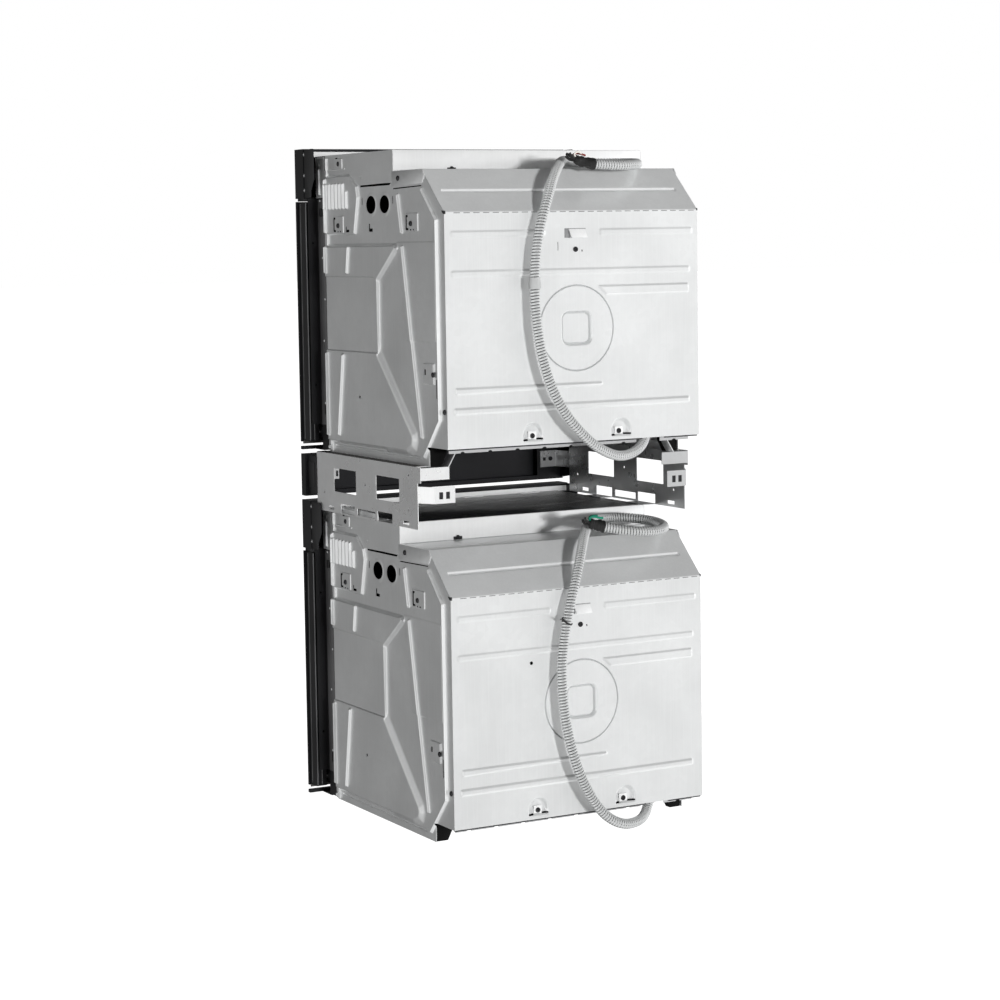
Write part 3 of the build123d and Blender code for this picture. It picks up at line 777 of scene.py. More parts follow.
def conduit_set(prefix, base, route, tail, lap, rise, leads, tie_at, wide, tie_slot_mat):
    pts = spline_points(route, base)
    ob, line, total = spiral_conduit(prefix + "_conduit_spiral", pts, 9.5, 5.6)
    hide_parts(prefix + "_conduit")
    end, d = Vector(line[-1]), Vector(line[-1] - line[-4]).normalized()
    # taped bundle: overlapping, uneven turns of tape that narrow towards the leads
    tape = Build()
    u = Vector((0, 0, 1)).cross(d).normalized()
    w = d.cross(u)
    n, turns = 26, max(3, int((tail + lap) / 7.0))
    rings = []
    for k in range(turns):
        a0 = -lap + (tail + lap) * k / turns
        a1 = -lap + (tail + lap) * (k + 0.92) / turns
        r0 = 10.6 - 1.9 * min(1.0, max(0.0, (a0 + 4) / 14.0)) + 0.7 * math.sin(2.3 * k + lap)
        rings += [(a0, r0 + 0.5, 0.9 * k), (a0 + 0.4 * (a1 - a0), r0 + 0.7, 0.9 * k + 0.3), (a1, r0 - 0.4, 0.9 * k + 0.6)]
    rings = [(-lap - 0.8, 9.6, 0.0)] + rings + [(tail, 7.0, 1.0), (tail + 1.0, 5.0, 1.0)]
    base_i = len(tape.v)
    for along, rad, ph in rings:
        lift_k = rise * max(0.0, along / tail) ** 1.5
        for i in range(n):
            a = 2 * math.pi * i / n
            rr = rad * (1 + 0.06 * math.sin(3 * a + 2 * ph) + 0.04 * math.sin(5 * a - ph))
            tape.v.append(tuple(end + d * along + w * lift_k + (u * math.cos(a) + w * math.sin(a)) * rr))
    for k in range(len(rings) - 1):
        for i in range(n):
            j = (i + 1) % n
            tape.f.append((base_i + k * n + i, base_i + k * n + j, base_i + (k + 1) * n + j, base_i + (k + 1) * n + i))
    tape.f.append(tuple(base_i + i for i in range(n))[::-1])
    tape.f.append(tuple(base_i + (len(rings) - 1) * n + i for i in range(n)))
    tp = tape.done(prefix + "_taped_end", "wire_sleeve", angle=40)
    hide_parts(prefix + "_wire_tails")
    for k, (color, su, sw, radius, legs) in enumerate(leads):
        # each lead leaves the tape and is bent by hand: legs are (along, sideways, up) from where it leaves
        root = end + d * (tail - 6) + u * su + w * (sw + rise)
        ctrl = [root, root + d * 6] + [root + d * (6 + x) + u * y + w * z for x, y, z in legs]
        path = []
        for i in range(1, len(ctrl) - 1):
            p0 = ctrl[0] if i == 1 else (ctrl[i - 1] + ctrl[i]) / 2
            p2 = ctrl[-1] if i == len(ctrl) - 2 else (ctrl[i] + ctrl[i + 1]) / 2
            for q in range(6):
                t = q / 6
                path.append(p0 * (1 - t) ** 2 + ctrl[i] * 2 * t * (1 - t) + p2 * t * t)
        path.append(ctrl[-1])
        b = Build()
        b.tube(path, radius, 12)
        ld = b.done(f"{prefix}_lead_{k}", "wire_sleeve", material=MATS[color])
    # tie: a strap round the conduit with its lock and cut tail
    seg = np.linalg.norm(line - np.array([tie_at[0], tie_at[1] + YB, tie_at[2] + base]), axis=1)
    i = int(np.argmin(seg))
    c, t = Vector(line[i]), Vector(line[i + 3] - line[i - 3]).normalized()
    strap = Build()
    side = Vector((1, 0.45, 0)).normalized()
    side = (side - t * side.dot(t)).normalized()
    up = t.cross(side)
    if wide:
        # broad clear band with a lapped edge
        strap.turned([(-10.5, 9.9), (-10.5, 10.6), (-9.8, 10.8), (9.8, 10.8), (10.5, 10.6), (10.5, 9.9)], c, t, 36)
        strap.turned([(-9.0, 10.6), (-9.0, 11.1), (2.0, 11.2), (2.2, 10.6)], c, t, 36)
    else:
        ax = (t + up * 0.55).normalized()
        strap.turned([(-1.5, 9.2), (-1.5, 11.2), (-1.1, 11.5), (1.1, 11.5), (1.5, 11.2), (1.5, 9.2)], c, ax, 36)
        lock = []
        for x, y, z in ((-2.6, -2.6, 10.2), (2.6, -2.6, 10.2), (2.6, 2.6, 10.2), (-2.6, 2.6, 10.2), (-2.2, -2.2, 14.2), (2.2, -2.2, 14.2), (2.2, 2.2, 14.2), (-2.2, 2.2, 14.2)):
            lock.append(tuple(c + t * x + up * y + side * z))
        strap.put(lock, [(3, 2, 1, 0), (4, 5, 6, 7), (0, 1, 5, 4), (1, 2, 6, 5), (2, 3, 7, 6), (3, 0, 4, 7)])
        strap.tube([c + side * (11.0 + 12.0 * q) + t * (1.0 + 3.0 * q - 3.0 * q * q) for q in (0, 0.25, 0.5, 0.75, 1.0)], 1.0, 8)
    ts = strap.done(prefix + "_conduit_tie", "tie_plastic", material=tie_slot_mat, angle=30)
    return ob, ts


MATS["tie_clear"] = plastic("tie_clear", (0.40, 0.405, 0.405), 0.22)
MATS["tie_black"] = plastic("tie_black", (0.015, 0.015, 0.015), 0.4)
_, tie_a = conduit_set("lower", 0.0, ROUTE_LOWER, 16.0, 13.0, 2.0,
                       [("lead_green", 2.0, 4.0, 2.2, [(4, 3, 6), (-4, 6, 10), (-14, 5, 9), (-22, 1, 10)]),
                        ("lead_green", -2.5, 3.5, 2.2, [(3, -3, 7), (-6, -5, 11), (-13, -2, 12)]),
                        ("lead_black", 4.5, 0.0, 2.4, [(8, 2, 2), (12, 4, 5), (12, 5, 9)]),
                        ("lead_white", -4.0, 0.0, 2.0, [(6, -4, 3), (7, -5, 8), (2, -5, 11)]),
                        ("lead_black", 0.0, -3.0, 2.6, [(7, 0, -1), (13, 1, 2), (15, 2, 6)])],
                       (42.6, 26.4, 404), False, MATS["tie_black"])
_, tie_b = conduit_set("upper", PITCH, ROUTE_UPPER, 40.0, 0.5, 6.0,
                       [("lead_black", 3.0, 1.5, 2.4, [(6, 2, 2), (12, 3, 5), (14, 3, 9)]),
                        ("lead_red", -2.0, 3.6, 1.9, [(3, -2, 5), (-6, -3, 8), (-16, -3, 7), (-24, -2, 5)]),
                        ("lead_white", 2.0, 4.0, 1.8, [(4, 2, 5), (0, 3, 9), (-7, 3, 10), (-11, 1, 7)]),
                        ("lead_black", -3.0, -1.5, 2.6, [(7, -2, 0), (13, -2, 3), (16, -1, 6)]),
                        ("lead_black", 0.5, 0.5, 2.6, [(8, 0, 3), (15, 0, 7), (18, 1, 8)])],
                       (102.4, 29.2, 331), True, MATS["tie_clear"])
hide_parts("conduit_ties")


# ---------------------------------------------------------------- side panels
SIDE_OUTLINE = [(-492, 0), (-72, 0), (-72, 36), (-1.2, 36), (-1.2, 461.4), (-84.2, 539.6), (-206, 539.6), (-206, 552), (-492, 552)]


def side_features():
    f = []
    # lower front field, raised, its rear edge following the long diagonal
    f.append(plateau([(-496, 20), (-158, 20), (-134, 52), (-134, 59), (-262, 190.8), (-262, 336), (-178, 398), (-190, 408), (-496, 408)], 6.5, 7.0, r=5))
    f.append(plateau([(-264, 214), (-259, 207), (-118, 62), (-112, 44), (-122, 24), (-150, 12), (-240, 12), (-340, 150), (-340, 214)], 6.5, 17.0, r=4))
    # middle panel set back into it
    f.append(plateau([(-500, 200), (-266, 200), (-266, 341), (-279, 346), (-500, 346)], -2.4, 3.0, add=True))
    # front flange
    f.append(plateau([(-500, 1), (-480, 1), (-480, 553), (-500, 553)], 3.4, 3.2))
    # upper front field with a kinked rear edge
    f.append(plateau([(-496, 424), (-358, 424), (-341, 496), (-347, 518), (-376, 541), (-496, 541)], 4.6, 5.0, r=4))
    f.append(bead([(-381, 405), (-393, 350)], 4.2, 2.0, taper=1.5))
    for z0, z1 in ((427, 536), (349, 406), (31, 198), (4, 16)):
        f.append(bead([(-486, z0), (-486, z1)], 4.6, 1.5))
    f.append(bead([(-413, 197), (-437, 34)], 4.8, 2.5, taper=0.72))
    f.append(bead([(-181, 500), (-166, 423)], 4.6, 1.5))
    f.append(bead([(-165, 404), (-135, 240), (-98, 48)], 4.4, 1.5))
    f.append(bead([(-87, 506), (-29, 447), (-27, 88), (-92, 15)], 5.0, 2.0))
    f.append(bead([(-470, 14.5), (-108, 14.5)], -2.2, 1.0, b=2.2))
    # shallow field ahead of the rear rib, with its faint upper and lower lines
    f.append(plateau([(-156, 226), (-36, 226), (-36, 411), (-190, 411)], 0.9, 3.5, add=True, r=3))
    # seats of the casing clips
    f.append(plateau([(-452, 428), (-404, 428), (-404, 462), (-452, 462)], 1.2, 1.8, add=True, r=3))
    f.append(plateau([(-151, 428), (-100, 428), (-100, 463), (-151, 463)], 1.6, 1.8, add=True, r=3))
    f.append(plateau([(-88, 150), (-46, 150), (-46, 190), (-88, 190)], 2.6, 2.2, add=True, r=2))
    # louvres
    for i in range(7):
        y = -481.5 + 15.4 * i
        f.append(bead([(y, 473), (y, 526 if i < 6 else 511)], 4.0, 0.6, b=4.7))
    # raised collars round the two breather holes
    for y in (-293, -236):
        f.append(plateau(circle(y, 480.5, 23.0, 40), 0.5, 1.8, add=True))
    return f


def side_holes():
    h = [[Vector((y + 20.0 * math.cos(2 * math.pi * i / 40), 480.5 + 16.8 * math.sin(2 * math.pi * i / 40))) for i in range(40)] for y in (-293, -236)]
    h += [rounded([(y - 1.6, 481), (y + 1.6, 481), (y + 1.6, 495), (y - 1.6, 495)], 1.0, 2) for y in (-331, -202)]
    h += [circle(-344, 115, 3, 16)]
    h.append([(-338, 514.6), (-214, 515.4), (-207, 520), (-212, 520), (-338, 518)])
    h.append([(-200, 507.2), (-86, 510.0), (-86, 512.0), (-200, 509.4)])
    # bracket-shaped slots beside the clip screws
    for y0 in (-448, -148):
        h.append([(y0, 431), (y0 + 11, 431), (y0 + 11, 435), (y0 + 5, 435), (y0 + 5, 455), (y0 + 9, 455), (y0 + 9, 459), (y0, 459)])
        h.append([(y0 + 17, 430.5), (y0 + 22, 430.5), (y0 + 22, 433), (y0 + 17, 433)])
        h.append([(y0 + 28, 430.5), (y0 + 33, 430.5), (y0 + 33, 433), (y0 + 28, 433)])
    h.append([(-395, 430), (-380, 430), (-380, 435), (-391, 435), (-391, 441), (-395, 441)])
    h.append([(-304, 430), (-288, 430), (-288, 436), (-299, 436), (-299, 445), (-304, 445)])
    h.append([(-82, 168), (-76, 168), (-76, 178), (-82, 178)])
    h.append([(-41.5, 126), (-38.5, 126), (-38.5, 160), (-41.5, 160)])
    return h


FEATS_SIDE, HOLES_SIDE = side_features(), side_holes()
for prefix, base in OVENS:
    for side, sx in (("right", 1), ("left", -1)):
        p = pressed(f"{prefix}_side_pressing_{side}", SIDE_OUTLINE, HOLES_SIDE, FEATS_SIDE,
                    lambda y, z, h, sx=sx, base=base: (sx * (HB + h), YB + y, base + z), 0.9, "galvanised_sheet")
        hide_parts(f"{prefix}_side_panel_{side}")

# ---------------------------------------------------------------- rear panels
FOLD_Z, SHOULDER = 462.0, (-84.0, 541.0)
SLOPE = math.hypot(SHOULDER[0], SHOULDER[1] - FOLD_Z)


def rear_profile():
    """(s, y, z, ny, nz) along the panel's section: up the back, over the fold, up the slope, onto the shoulder."""
    ang = math.atan2(-SHOULDER[0], SHOULDER[1] - FOLD_Z)
    out = [(36.0, 0.0, 36.0, 1.0, 0.0)]
    r = 3.0

    def corner(s0, y0, z0, a0, a1):
        half = abs(a1 - a0) / 2
        t = r * math.tan(half)
        d0 = (-math.sin(a0), math.cos(a0))
        c = (y0 - d0[0] * t - math.cos(a0) * r, z0 - d0[1] * t - math.sin(a0) * r)
        for i in range(7):
            a = a0 + (a1 - a0) * i / 6
            out.append((s0 - t + 2 * t * i / 6, c[0] + r * math.cos(a), c[1] + r * math.sin(a), math.cos(a), math.sin(a)))

    corner(FOLD_Z, 0.0, FOLD_Z, 0.0, ang)
    corner(FOLD_Z + SLOPE, SHOULDER[0], SHOULDER[1], ang, math.pi / 2)
    out.append((FOLD_Z + SLOPE + 116.0, -200.0, 541.0, 0.0, 1.0))
    return np.array(out)


REAR = rear_profile()
S_END = float(REAR[-1, 0])


def rear_place(base):
    def at(x, s, h):
        y, z, ny, nz = (float(np.interp(s, REAR[:, 0], REAR[:, i])) for i in (1, 2, 3, 4))
        k = math.hypot(ny, nz)
        return (x, YB + y + h * ny / k, base + z + h * nz / k)
    return at


def arch(x0, x1, z0, z1, n=9):
    r = (x1 - x0) / 2
    rise = min(r, (z1 - z0) * 0.62)
    pts = [(x0, z0), (x1, z0)]
    for i in range(n + 1):
        a = math.pi * i / n
        pts.append(((x0 + x1) / 2 + r * math.cos(a), z1 - rise + rise * math.sin(a)))
    return pts


def rear_features(extra_hole):
    f = []
    f.append(plateau([(60, 414), (260, 414), (260, 429.5), (60, 429.5)], 1.7, 5.5, r=6))
    f.append(plateau([(-260, 414.5), (-52, 414.5), (-52, 430), (-260, 430)], 1.7, 5.5, r=6))
    f.append(plateau([(-254, 343), (260, 343), (260, 358), (-254, 358)], 1.9, 5.5, r=6))
    f.append(plateau([(-250, 305), (-66, 305), (-56, 314), (-44, 325), (-250, 325)], 2.6, 4.5, r=4))
    f.append(plateau([(-58, 138), (254, 131.5), (254, 147.5), (-58, 147)], 2.8, 5.4, r=4.6))
    f.append(plateau([(-250, 97), (258, 95.5), (258, 111), (-250, 112)], 3.0, 5.6, r=5))
    f.append(groove_ring(circle(-3, 246.5, 78.5, 96), -4.8, 1.6))
    f.append(plateau([(-37, 213.5), (30, 213.5), (30, 279.5), (-37, 279.5)], -5.4, 4.2, r=16))
    f.append(groove_ring(ccw(rounded([(-32.6, 217.9), (25.6, 217.9), (25.6, 275.1), (-32.6, 275.1)], 12, 5)), -3.8, 2.0))
    for x0, x1 in ((71, 115), (-119, -74)):
        f.append(plateau(arch(x0, x1, 40, 77), -8.5, 6.0, ramp=(40, 56)))
    # bead across the slope
    f.append(bead([(254, 518), (-250, 518)], -2.8, 1.6, b=4.4))
    return f


def rear_holes(lower):
    h = []
    for x0, x1 in ((71, 115), (-119, -74)):
        h.append([(x0 + 1, 44.5), (x0 + 17, 45.0), (x0 + 17, 48.2), (x0 + 1, 47.8)])
        h.append([(x1 - 12, 43.5), (x1 - 1, 43), (x1 - 1, 46.2), (x1 - 12, 46.8)])
    # slits beside the hanging tab's screw
    h.append([(34.6, 389), (35.8, 389), (35.8, 405), (34.6, 405)])
    h.append([(-17.5, 387), (-15.5, 386), (-14.6, 389.5), (-16.6, 390.5)])
    # gaps between the sheets on the shoulder
    s0 = FOLD_Z + SLOPE
    h.append([(-264, s0 + 13), (264, s0 + 13), (264, s0 + 16.5), (-264, s0 + 16.5)])
    h.append([(-264, s0 + 103.5), (264, s0 + 103.5), (264, s0 + 109), (-264, s0 + 109)])
    if lower:
        h.append(circle(104, 328, 3.4, 18))
    return h


REAR_LINES = [[(-270, s), (270, s)] for s in REAR[1:-1, 0]]
REAR_LINES += [[(-270, s), (270, s)] for s in (454.0, 472.0, 569.0, 584.0)]
REAR_OUTLINE = [(-270, 36), (270, 36), (270, S_END), (-270, S_END)]
for prefix, base in OVENS:
    p = pressed(f"{prefix}_rear_pressing", REAR_OUTLINE, rear_holes(prefix == "lower"), rear_features(prefix == "lower"),
                rear_place(base), 0.9, "galvanised_sheet", lines=REAR_LINES)
    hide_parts(f"{prefix}_rear_panel")
    # hanging tab: lanced out of the panel and bent outwards like an awning, in a paler tint of the sheet (painted
    # light), over a dark grey plate (painted shade)
    b = Build()
    b.prism([(0.3, 427.4), (1.2, 428.2), (11.0, 413.4), (11.0, 412.2), (10.2, 412.2)], "x", -22, 12, 0.25)
    t = b.done(f"{prefix}_hanging_tab", "galvanised_sheet", material=MATS["galvanised_painted_light"])
    t.data.transform(Matrix.Translation((0, YB / 1000, base / 1000)))
    b = Build()
    b.box(10, 21, YB + 0.0, YB + 0.35, base + 412, base + 428, 0.15)
    b.box(-24, 21, YB + 0.0, YB + 0.35, base + 427.5, base + 429.6, 0.15)
    b.done(f"{prefix}_hanging_tab_seat", "galvanised_sheet", material=MATS["galvanised_painted_shade"])
    # seats of the two lower screws, level with the pressed arches, in a paler tint of the sheet: painted light
    b = Build()
    for x in (93, -93):
        b.box(x - 8.5, x + 8.5, YB - 5.0, YB - 3.5, base + 43.5, base + 60.5, 0.3)
    b.done(f"{prefix}_lower_seats", "galvanised_sheet", material=MATS["galvanised_painted_light"])
    # dark pieces where the side, the slope and the back meet: painted shade of the gap there
    b = Build()
    b.prism([(YB - 9.0, base + 464.5), (YB + 0.4, base + 464.0), (YB + 0.4, base + 458.0), (YB - 3.0, base + 459.0)], "x", 267.0, 271.2, 0.4)
    b.prism([(YB - 4.0, base + 464.5), (YB + 0.4, base + 463.5), (YB + 0.4, base + 459.5), (YB - 3.0, base + 460.0)], "x", -271.0, -268.5, 0.4)
    b.done(f"{prefix}_corner_painted_shade", "screw_steel")
    # open ends of the tabs that are folded over along the slope's lower edge, in the dark copy of the sheet: painted
    # shade
    b = Build()
    for i in range(26):
        x = -256 + 20.0 * i
        b.box(x - 6.4, x + 6.4, YB - 0.8, YB + 0.25, base + 459.4, base + 460.6, 0.1)
    b.done(f"{prefix}_fold_tabs", "galvanised_sheet", material=MATS["base_painted_shade"])

# ---------------------------------------------------------------- casing details
def mirrored(fn):
    """Runs fn once for each side: fn(side name, sign)."""
    for side, sx in (("right", 1), ("left", -1)):
        fn(side, sx)


def plate_x(build, sx, x0, x1, poly, bevel=0.3):
    """A plate parallel to the side panels, cut to a (Y, z) polygon."""
    lo, hi = sorted((sx * x0, sx * x1))
    build.prism([(y + YB, z) for y, z in poly], "x", lo, hi, bevel)


def lift(poly, base):
    return [(y, z + base) for y, z in poly]


def pan_head(b, at, axis, r=4.6, h=2.9, turn=0.3):
    """Pan-head sheet screw with a cross recess."""
    ax = Vector(axis).normalized()
    u = ax.orthogonal().normalized()
    w = ax.cross(u)
    c = Vector(at)
    n = 32
    rings = [(0.0, r), (0.35 * h, r), (0.7 * h, 0.93 * r), (0.92 * h, 0.76 * r), (h, 0.56 * r)]
    base = len(b.v)
    for along, rad in rings:
        for i in range(n):
            a = 2 * math.pi * i / n
            b.v.append(tuple(c + ax * along + (u * math.cos(a) + w * math.sin(a)) * rad))
    for k in range(len(rings) - 1):
        for i in range(n):
            j = (i + 1) % n
            b.f.append((base + k * n + i, base + k * n + j, base + (k + 1) * n + j, base + (k + 1) * n + i))
    b.f.append(tuple(base + i for i in range(n))[::-1])
    # cross outline cut into the crown
    arm, half = 0.44 * r, 0.13 * r
    cross = [(half, half), (arm, half), (arm, -half), (half, -half), (half, -arm), (-half, -arm), (-half, -half), (-arm, -half),
             (-arm, half), (-half, half), (-half, arm), (half, arm)]
    ca, sa = math.cos(turn), math.sin(turn)
    rim = [(u * math.cos(2 * math.pi * i / n) + w * math.sin(2 * math.pi * i / n)) * (0.56 * r) for i in range(n)]
    pts2 = [Vector((0.56 * r * math.cos(2 * math.pi * i / n), 0.56 * r * math.sin(2 * math.pi * i / n))) for i in range(n)]
    cr2 = [Vector((x * ca - y * sa, x * sa + y * ca)) for x, y in cross]
    m = len(cr2)
    allp = pts2 + cr2
    edges = [(i, (i + 1) % n) for i in range(n)] + [(n + i, n + (i + 1) % m) for i in range(m)]
    vs, _, tris, _, _, _ = delaunay_2d_cdt(allp, edges, [], 0, 1e-6)
    q = np.array([(v.x, v.y) for v in vs])
    top = len(b.v)
    for x, y in q:
        b.v.append(tuple(c + ax * h + u * x + w * y))
    floor0 = len(b.v)
    for x, y in q:
        b.v.append(tuple(c + ax * (h - 1.5) + u * x * 0.8 + w * y * 0.8))
    for t in tris:
        cen = q[list(t)].mean(axis=0)
        ins, _ = inside_and_distance(cen[None, :], cr2)
        off = floor0 if ins[0] else top
        b.f.append(tuple(off + i for i in t))
    for i in range(m):
        j = (i + 1) % m
        b.f.append((top + n + i, top + n + j, floor0 + n + j, floor0 + n + i))


screws = Build()
for prefix, base in OVENS:
    for sx in (1, -1):
        for k, (y, z) in enumerate([(-426, 443), (-127, 443), (-47, 169), (-9, 103), (-176, 527)]):
            out = HB + (5.9 if k == 0 else 1.7 if k == 1 else 2.7 if k == 2 else 1.3 if k == 4 else 0.2)
            pan_head(screws, (sx * out, YB + y, base + z), (sx, 0, 0), 4.9, 2.7, 0.3 + 0.9 * k)
        pan_head(screws, (sx * (HB + 1.3), YB - 429, base + 562), (sx, 0, 0), 5.0, 2.7, 0.7)
    for k, (x, z) in enumerate([(-2, 391), (93, 52), (-93, 52)]):
        pan_head(screws, (x, YB + (0.2 if k == 0 else -3.6), base + z), (0, 1, 0), 4.9, 2.7, 0.4 + 0.7 * k)
for sx in (1, -1):
    pan_head(screws, (sx * 267, YB - 554.5, 646), (0, 1, 0), 4.6, 2.7, 0.5)
scr = screws.done("casing_screw_heads", "screw_steel", angle=40)
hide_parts("casing_screws")

for prefix, base in OVENS:
    # plates over the shoulder's ends
    def corner(side, sx):
        b = Build()
        plate_x(b, sx, HB + 0.1, HB + 1.2, lift(rounded([(-203, 511.5), (-82, 514.5), (-71, 530), (-79, 541), (-203, 541)], 2.0, 3), base), 0.35)
        b.done(f"{prefix}_shoulder_plate_{side}", "galvanised_sheet")
    mirrored(corner)

    # cooling cover: cheeks with a turned front edge, rear plate with a stiffening return, upstand behind the control panel
    def cheek(side, sx):
        out = [(-492, 545.5), (-386, 545.5), (-360, 519.5), (-206, 519.5), (-197, 529), (-197, 577), (-200, 580), (-492, 580)]
        pts = rounded(out, [0, 3, 3, 9, 6, 1, 1, 0], 4)
        feats = [bead([(-484, 549), (-484, 576)], 3.4, 1.2),
                 plateau([(-446, 552), (-412, 552), (-412, 573), (-446, 573)], 1.2, 1.5, add=True, r=3),
                 bead([(-474, 551.5), (-402, 551.5)], 1.0, 1.0, b=1.6)]
        holes = [circle(-334, 533, 2.6, 16), [(-444, 571.6), (-434, 571.6), (-434, 574.2), (-444, 574.2)]]
        p = pressed(f"{prefix}_cover_cheek_{side}", pts, holes, feats,
                    lambda y, z, h, sx=sx: (sx * (HB + 1.1 + h), YB + y, base + z), 0.9, "galvanised_sheet")
        return p
    mirrored(cheek)
    rp = Build()
    rp.box(-271, 271, YB - 198.0, YB - 197.0, base + 541.2, base + 580.0, 0.4)
    rp.box(-271, 271, YB - 204.0, YB - 197.0, base + 578.8, base + 580.0, 0.45)
    rp.box(-294, 294, YB - 536.0, YB - 535.0, base + 578.9, base + 589.6, 0.4)
    te = Build()
    te.box(-296, 296, YB - 536.4, YB - 534.0, base + 589.8, base + 594.9, 0.2)
    te.done(f"{prefix}_panel_top_edge", "black_enamel")
    # top plate in the near-black brushed tint: painted dark reflection
    tp = Build()
    tp.box(-271, 271, YB - 535.0, YB - 203.0, base + 578.9, base + 579.9, 0.4)
    tp.done(f"{prefix}_cover_plate", "galvanised_sheet", material=MATS["cover_painted_reflection"])
    for x in (-200, -66, 68, 202):
        rp.box(x - 22, x + 22, YB - 535.2, YB - 523.0, base + 579.6, base + 581.0, 0.4)
    # rear plate, return, upstand and pads in the paler copy of the sheet: painted light
    cover = rp.done(f"{prefix}_cooling_cover", "galvanised_sheet", material=MATS["cover_back_painted_light"])
    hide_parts(f"{prefix}_top_cover")
    clip = Build()
    clip.box(139, 157, YB - 197.2, YB - 195.2, base + 541.4, base + 547.2, 0.5)
    pan_head(clip, (148, YB - 195.4, base + 546.0), (0, 1, 0), 3.6, 2.2, 0.2)
    clip.done(f"{prefix}_cover_clip", "screw_steel")

    # scalloped lip of the base pan, seen under the rear panel, in a darker copy of the sheet: painted shade
    lb = Build()
    for x0, x1 in ((-258, -194), (-142, 258)):
        pts = [(x0, 36.6), (x0, 26.6)]
        n = max(1, round((x1 - x0) / 57))
        for k in range(n):
            c0 = x0 + (x1 - x0) * (k + 0.5) / n
            for i in range(9):
                a = math.pi * i / 8
                pts.append((c0 - 4.5 * math.cos(a), 26.6 + 2.6 * math.sin(a)))
        pts += [(x1, 26.6), (x1, 36.6)]
        lb.prism([(x, base + z) for x, z in pts], "y", YB - 20.6, YB - 19.6, 0.0)
    lb.done(f"{prefix}_base_lip", "galvanised_sheet", material=MATS["lip_painted_shade"])
    # dark strip under the rear panel's bottom edge: painted shade of the open seam there
    fb = Build()
    for x0, x1 in ((-266, -194), (-142, 268)):
        fb.box(x0, x1, YB - 6.0, YB - 0.5, base + 33.6, base + 35.9, 0.2)
    fb.done(f"{prefix}_rear_seam_painted_shade", "screw_steel")

    # front columns: bright upper strips with a pressed line and rivets
    def column(side, sx):
        pts = [(-531, 498.5), (-493, 498.5), (-493, 578), (-531, 578)]
        p = pressed(f"{prefix}_column_strip_{side}", pts, [], [bead([(-514, 503), (-514, 556)], 3.4, 1.6)],
                    lambda y, z, h, sx=sx: (sx * (HB + 3.0 + h), YB + y, base + z), 0.9, "galvanised_sheet")
        rv = Build()
        for y, z in ((-515, 563), (-515, 493), (-508, 381), (-508, 218), (-508, 95), (-500, 300)):
            rv.turned([(0, 2.6), (0.5, 2.6), (1.0, 2.0), (1.3, 1.0)], (sx * (HB + (3.0 if z > 498 else 2.0)), YB + y, base + z), (sx, 0, 0), 18)
        rv.done(f"{prefix}_column_rivets_{side}", "galvanised_sheet")
        # end cap of the control panel with its rivets
        c = Build()
        cap = [(-567, 594), (-496, 594), (-493, 590), (-493, 536), (-508, 512), (-508, 499), (-567, 499)]
        plate_x(c, sx, 293.4, 296.2, lift(rounded(cap, 2.0, 3), base), 0.5)
        c.done(f"{prefix}_panel_end_{side}", "black_enamel")
        r2 = Build()
        for z in (584, 543, 514):
            r2.turned([(0, 4.2), (0.5, 4.2), (0.7, 3.4), (0.3, 2.6), (0.5, 1.8), (1.1, 1.4), (1.2, 0.4)], (sx * 296.2, YB - 536, base + z), (sx, 0, 0), 22)
        r2.done(f"{prefix}_panel_rivets_{side}", "handle_steel")
        # lower column face with its pressed line, in a dark grey that is painted shade, and the clip under the control
        # panel
        cf = Build()
        plate_x(cf, sx, HB + 2.0, HB + 2.7, lift([(-524, 52), (-494, 52), (-494, 496), (-524, 496)], base), 0.2)
        plate_x(cf, sx, HB + 2.0, HB + 3.4, lift([(-511, 56), (-508.5, 56), (-508.5, 490), (-511, 490)], base), 0.5)
        cf.done(f"{prefix}_column_face_{side}", "black_enamel", material=MATS["column_painted_shade"])
        cl = Build()
        plate_x(cl, sx, HB + 2.4, HB + 6.0, lift(rounded([(-512, 462), (-502, 462), (-502, 478), (-512, 478)], 2.0, 2), base), 0.6)
        plate_x(cl, sx, HB + 2.4, HB + 5.0, lift(rounded([(-508, 72), (-500, 72), (-500, 92), (-508, 92)], 2.0, 2), base), 0.6)
        cl.done(f"{prefix}_column_clip_{side}", "black_enamel")
        # door edge: thin strips at the glass bead and frame folds, in a grey lighter than the black door: painted
        # highlight lines
        de = Build()
        plate_x(de, sx, 293.6, 294.5, lift([(-562, 22), (-559.6, 22), (-559.6, 488), (-562, 488)], base), 0.25)
        plate_x(de, sx, 290.6, 292.8, lift([(-541.2, 20), (-540.0, 20), (-540.0, 489), (-541.2, 489)], base), 0.25)
        plate_x(de, sx, 281.5, 283.0, lift([(-541.2, 20), (-540.2, 20), (-540.2, 489), (-541.2, 489)], base), 0.25)
        de.done(f"{prefix}_door_edge_{side}", "black_enamel", f"{prefix}_door", material=MATS["edge_painted_highlight"])
    mirrored(column)
    # rubber lip along the door's bottom, and the control panel's lower return behind the gap above the door
    dl = Build()
    dl.box(-294, 294, YB - 572.0, YB - 569.6, base + 11.6, base + 19.0, 0.5)
    dl.done(f"{prefix}_door_bottom_lip", "seal_rubber", f"{prefix}_door")
    cr = Build()
    cr.box(-296.6, 296.6, YB - 566.5, YB - 536.0, base + 492.8, base + 499.0, 0.4)
    cr.done(f"{prefix}_panel_return", "black_enamel")

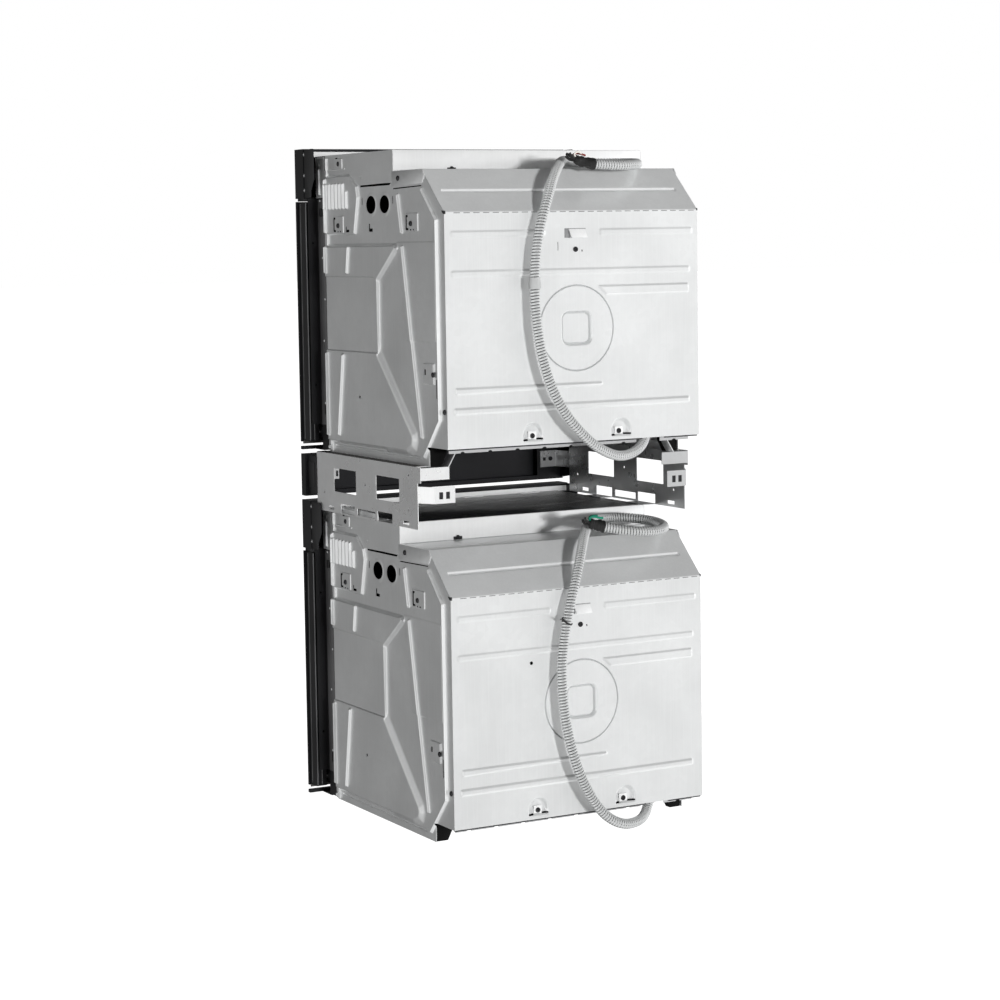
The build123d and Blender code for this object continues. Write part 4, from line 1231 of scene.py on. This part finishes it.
# ---------------------------------------------------------------- spacer details
for side, sx in (("right", 1), ("left", -1)):
    # dark strip on the shelf, beside the upper oven's skirt: painted shade, drawn in the seal rubber colour
    b = Build()
    x0, x1 = sorted((sx * 271.5, sx * 289.6))
    b.box(x0, x1, YB - 514, YB - 93, 695.0, 695.5, 0.15)
    b.done(f"spacer_shade_strip_{side}", "seal_rubber")
    # dark plates behind the rear tab's holes: painted shade that makes the holes read dark
    b = Build()
    for x in (259, 245):
        x0, x1 = sorted((sx * (x - 5.2), sx * (x + 5.2)))
        b.box(x0, x1, YB - 53.4, YB - 51.7, 635, 652, 0.4)
    b.done(f"spacer_tab_hole_shade_{side}", "screw_steel")
    # end returns of the filler panel
    b = Build()
    plate_x(b, sx, 291.4, 292.6, [(-557, 605), (-514, 612), (-514, 684), (-557, 686)], 0.3)
    plate_x(b, sx, 291.4, 294.0, [(-548, 622), (-522, 624), (-522, 672), (-548, 674)], 0.5)
    b.done(f"spacer_panel_return_{side}", "black_enamel")
# locating tabs of the lower oven's cover behind the near plate's low windows
b = Build()
plate_x(b, 1, 285.0, 286.2, [(-409, 581.7), (-346, 581.7), (-346, 593.0), (-409, 593.0)], 0.3)
plate_x(b, 1, 286.4, 288.6, [(-407, 588.0), (-348, 585.0), (-348, 590.0), (-407, 592.6)], 0.6)
plate_x(b, 1, 285.0, 286.2, [(-338, 581.7), (-256, 581.7), (-256, 592.6), (-338, 593.6)], 0.3)
b.box(262, 286.2, YB - 409, YB - 346, 580.0, 581.4, 0.3)
b.box(262, 286.2, YB - 338, YB - 256, 580.0, 581.4, 0.3)
b.done("spacer_locating_tabs", "galvanised_sheet")
# thin dark pieces at the near plate's window: painted shade of the slot there
b = Build()
plate_x(b, 1, 278.4, 279.2, [(-437.9, 650), (-437.2, 650), (-437.2, 664), (-437.9, 664)], 0.1)
b.box(281.5, 286.0, YB - 438.0, YB - 437.4, 651, 662, 0.2)
b.done("window_slot_painted_shade", "screw_steel")

# slanted straps beside the upper oven's rear feet: the near one in the dark copy of the sheet and the far one in the
# grey copy, both painted shade, with a cut edge in the plain sheet
for side, sx in (("right", 1), ("left", -1)):
    strap = [(sx * x, z) for x, z in ((221.5, 731), (223.2, 731), (241.8, 700.5), (244.5, 695.6), (242.8, 695.6), (240.2, 700.0))]
    b = Build()
    b.prism(strap, "y", YB - 73, YB - 50, 0.2)
    b.done(f"upper_foot_strap_{side}", "galvanised_sheet", material=MATS["base_painted_shade"] if sx > 0 else MATS["lip_painted_shade"])
    b = Build()
    b.prism(strap, "y", YB - 49.9, YB - 48, 0.2)
    b.done(f"upper_foot_strap_edge_{side}", "galvanised_sheet")

# rear feet: tapered pads
b = Build()
for base in (0.0, PITCH):
    for sx in (1, -1):
        pad = [(sx * x, base + z) for x, z in ((266.5, 0.2), (244.0, 0.2), (233.0, 22.0), (233.0, 35.6), (266.5, 35.6))]
        b.prism(pad, "y", YB - 90.0, YB - 74.5, 0.6)
ft = b.done("rear_foot_pads", "foot_plastic")
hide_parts("rear_feet")

# front: printed window border on each door, plain display and touch marks on each control panel
for prefix, base in OVENS:
    b = Build()
    for x0, x1, z0, z1 in ((-216, 216, 439.2, 440.2), (-216, 216, 99.8, 100.8), (-216, -215, 100.8, 439.2), (215, 216, 100.8, 439.2)):
        b.box(x0, x1, YB - 575.2, YB - 574.9, base + z0, base + z1, 0.0)
    b.done(f"{prefix}_window_border", "door_glass", f"{prefix}_door", material=MATS["print_grey"])
    b = Build()
    b.box(-58, 58, YB - 575.7, YB - 574.9, base + 527, base + 567, 0.0)
    b.done(f"{prefix}_display", "door_glass")
    b = Build()
    for x in (-150, -122, -94, 94, 122, 150):
        b.turned([(0, 2.4), (0.25, 2.4), (0.3, 2.0)], (x, YB - 574.95, base + 547), (0, -1, 0), 24)
    for x in (-182, 182):
        b.box(x - 7, x + 7, YB - 575.25, YB - 574.9, base + 546.3, base + 547.7, 0.0)
    for x0, x1, z0, z1 in ((-58.8, 58.8, 567.0, 567.6), (-58.8, 58.8, 526.4, 527.0), (-58.8, -58.0, 527.0, 567.0), (58.0, 58.8, 527.0, 567.0)):
        b.box(x0, x1, YB - 575.3, YB - 574.9, base + z0, base + z1, 0.0)
    b.done(f"{prefix}_touch_marks", "black_enamel", material=MATS["print_grey"])
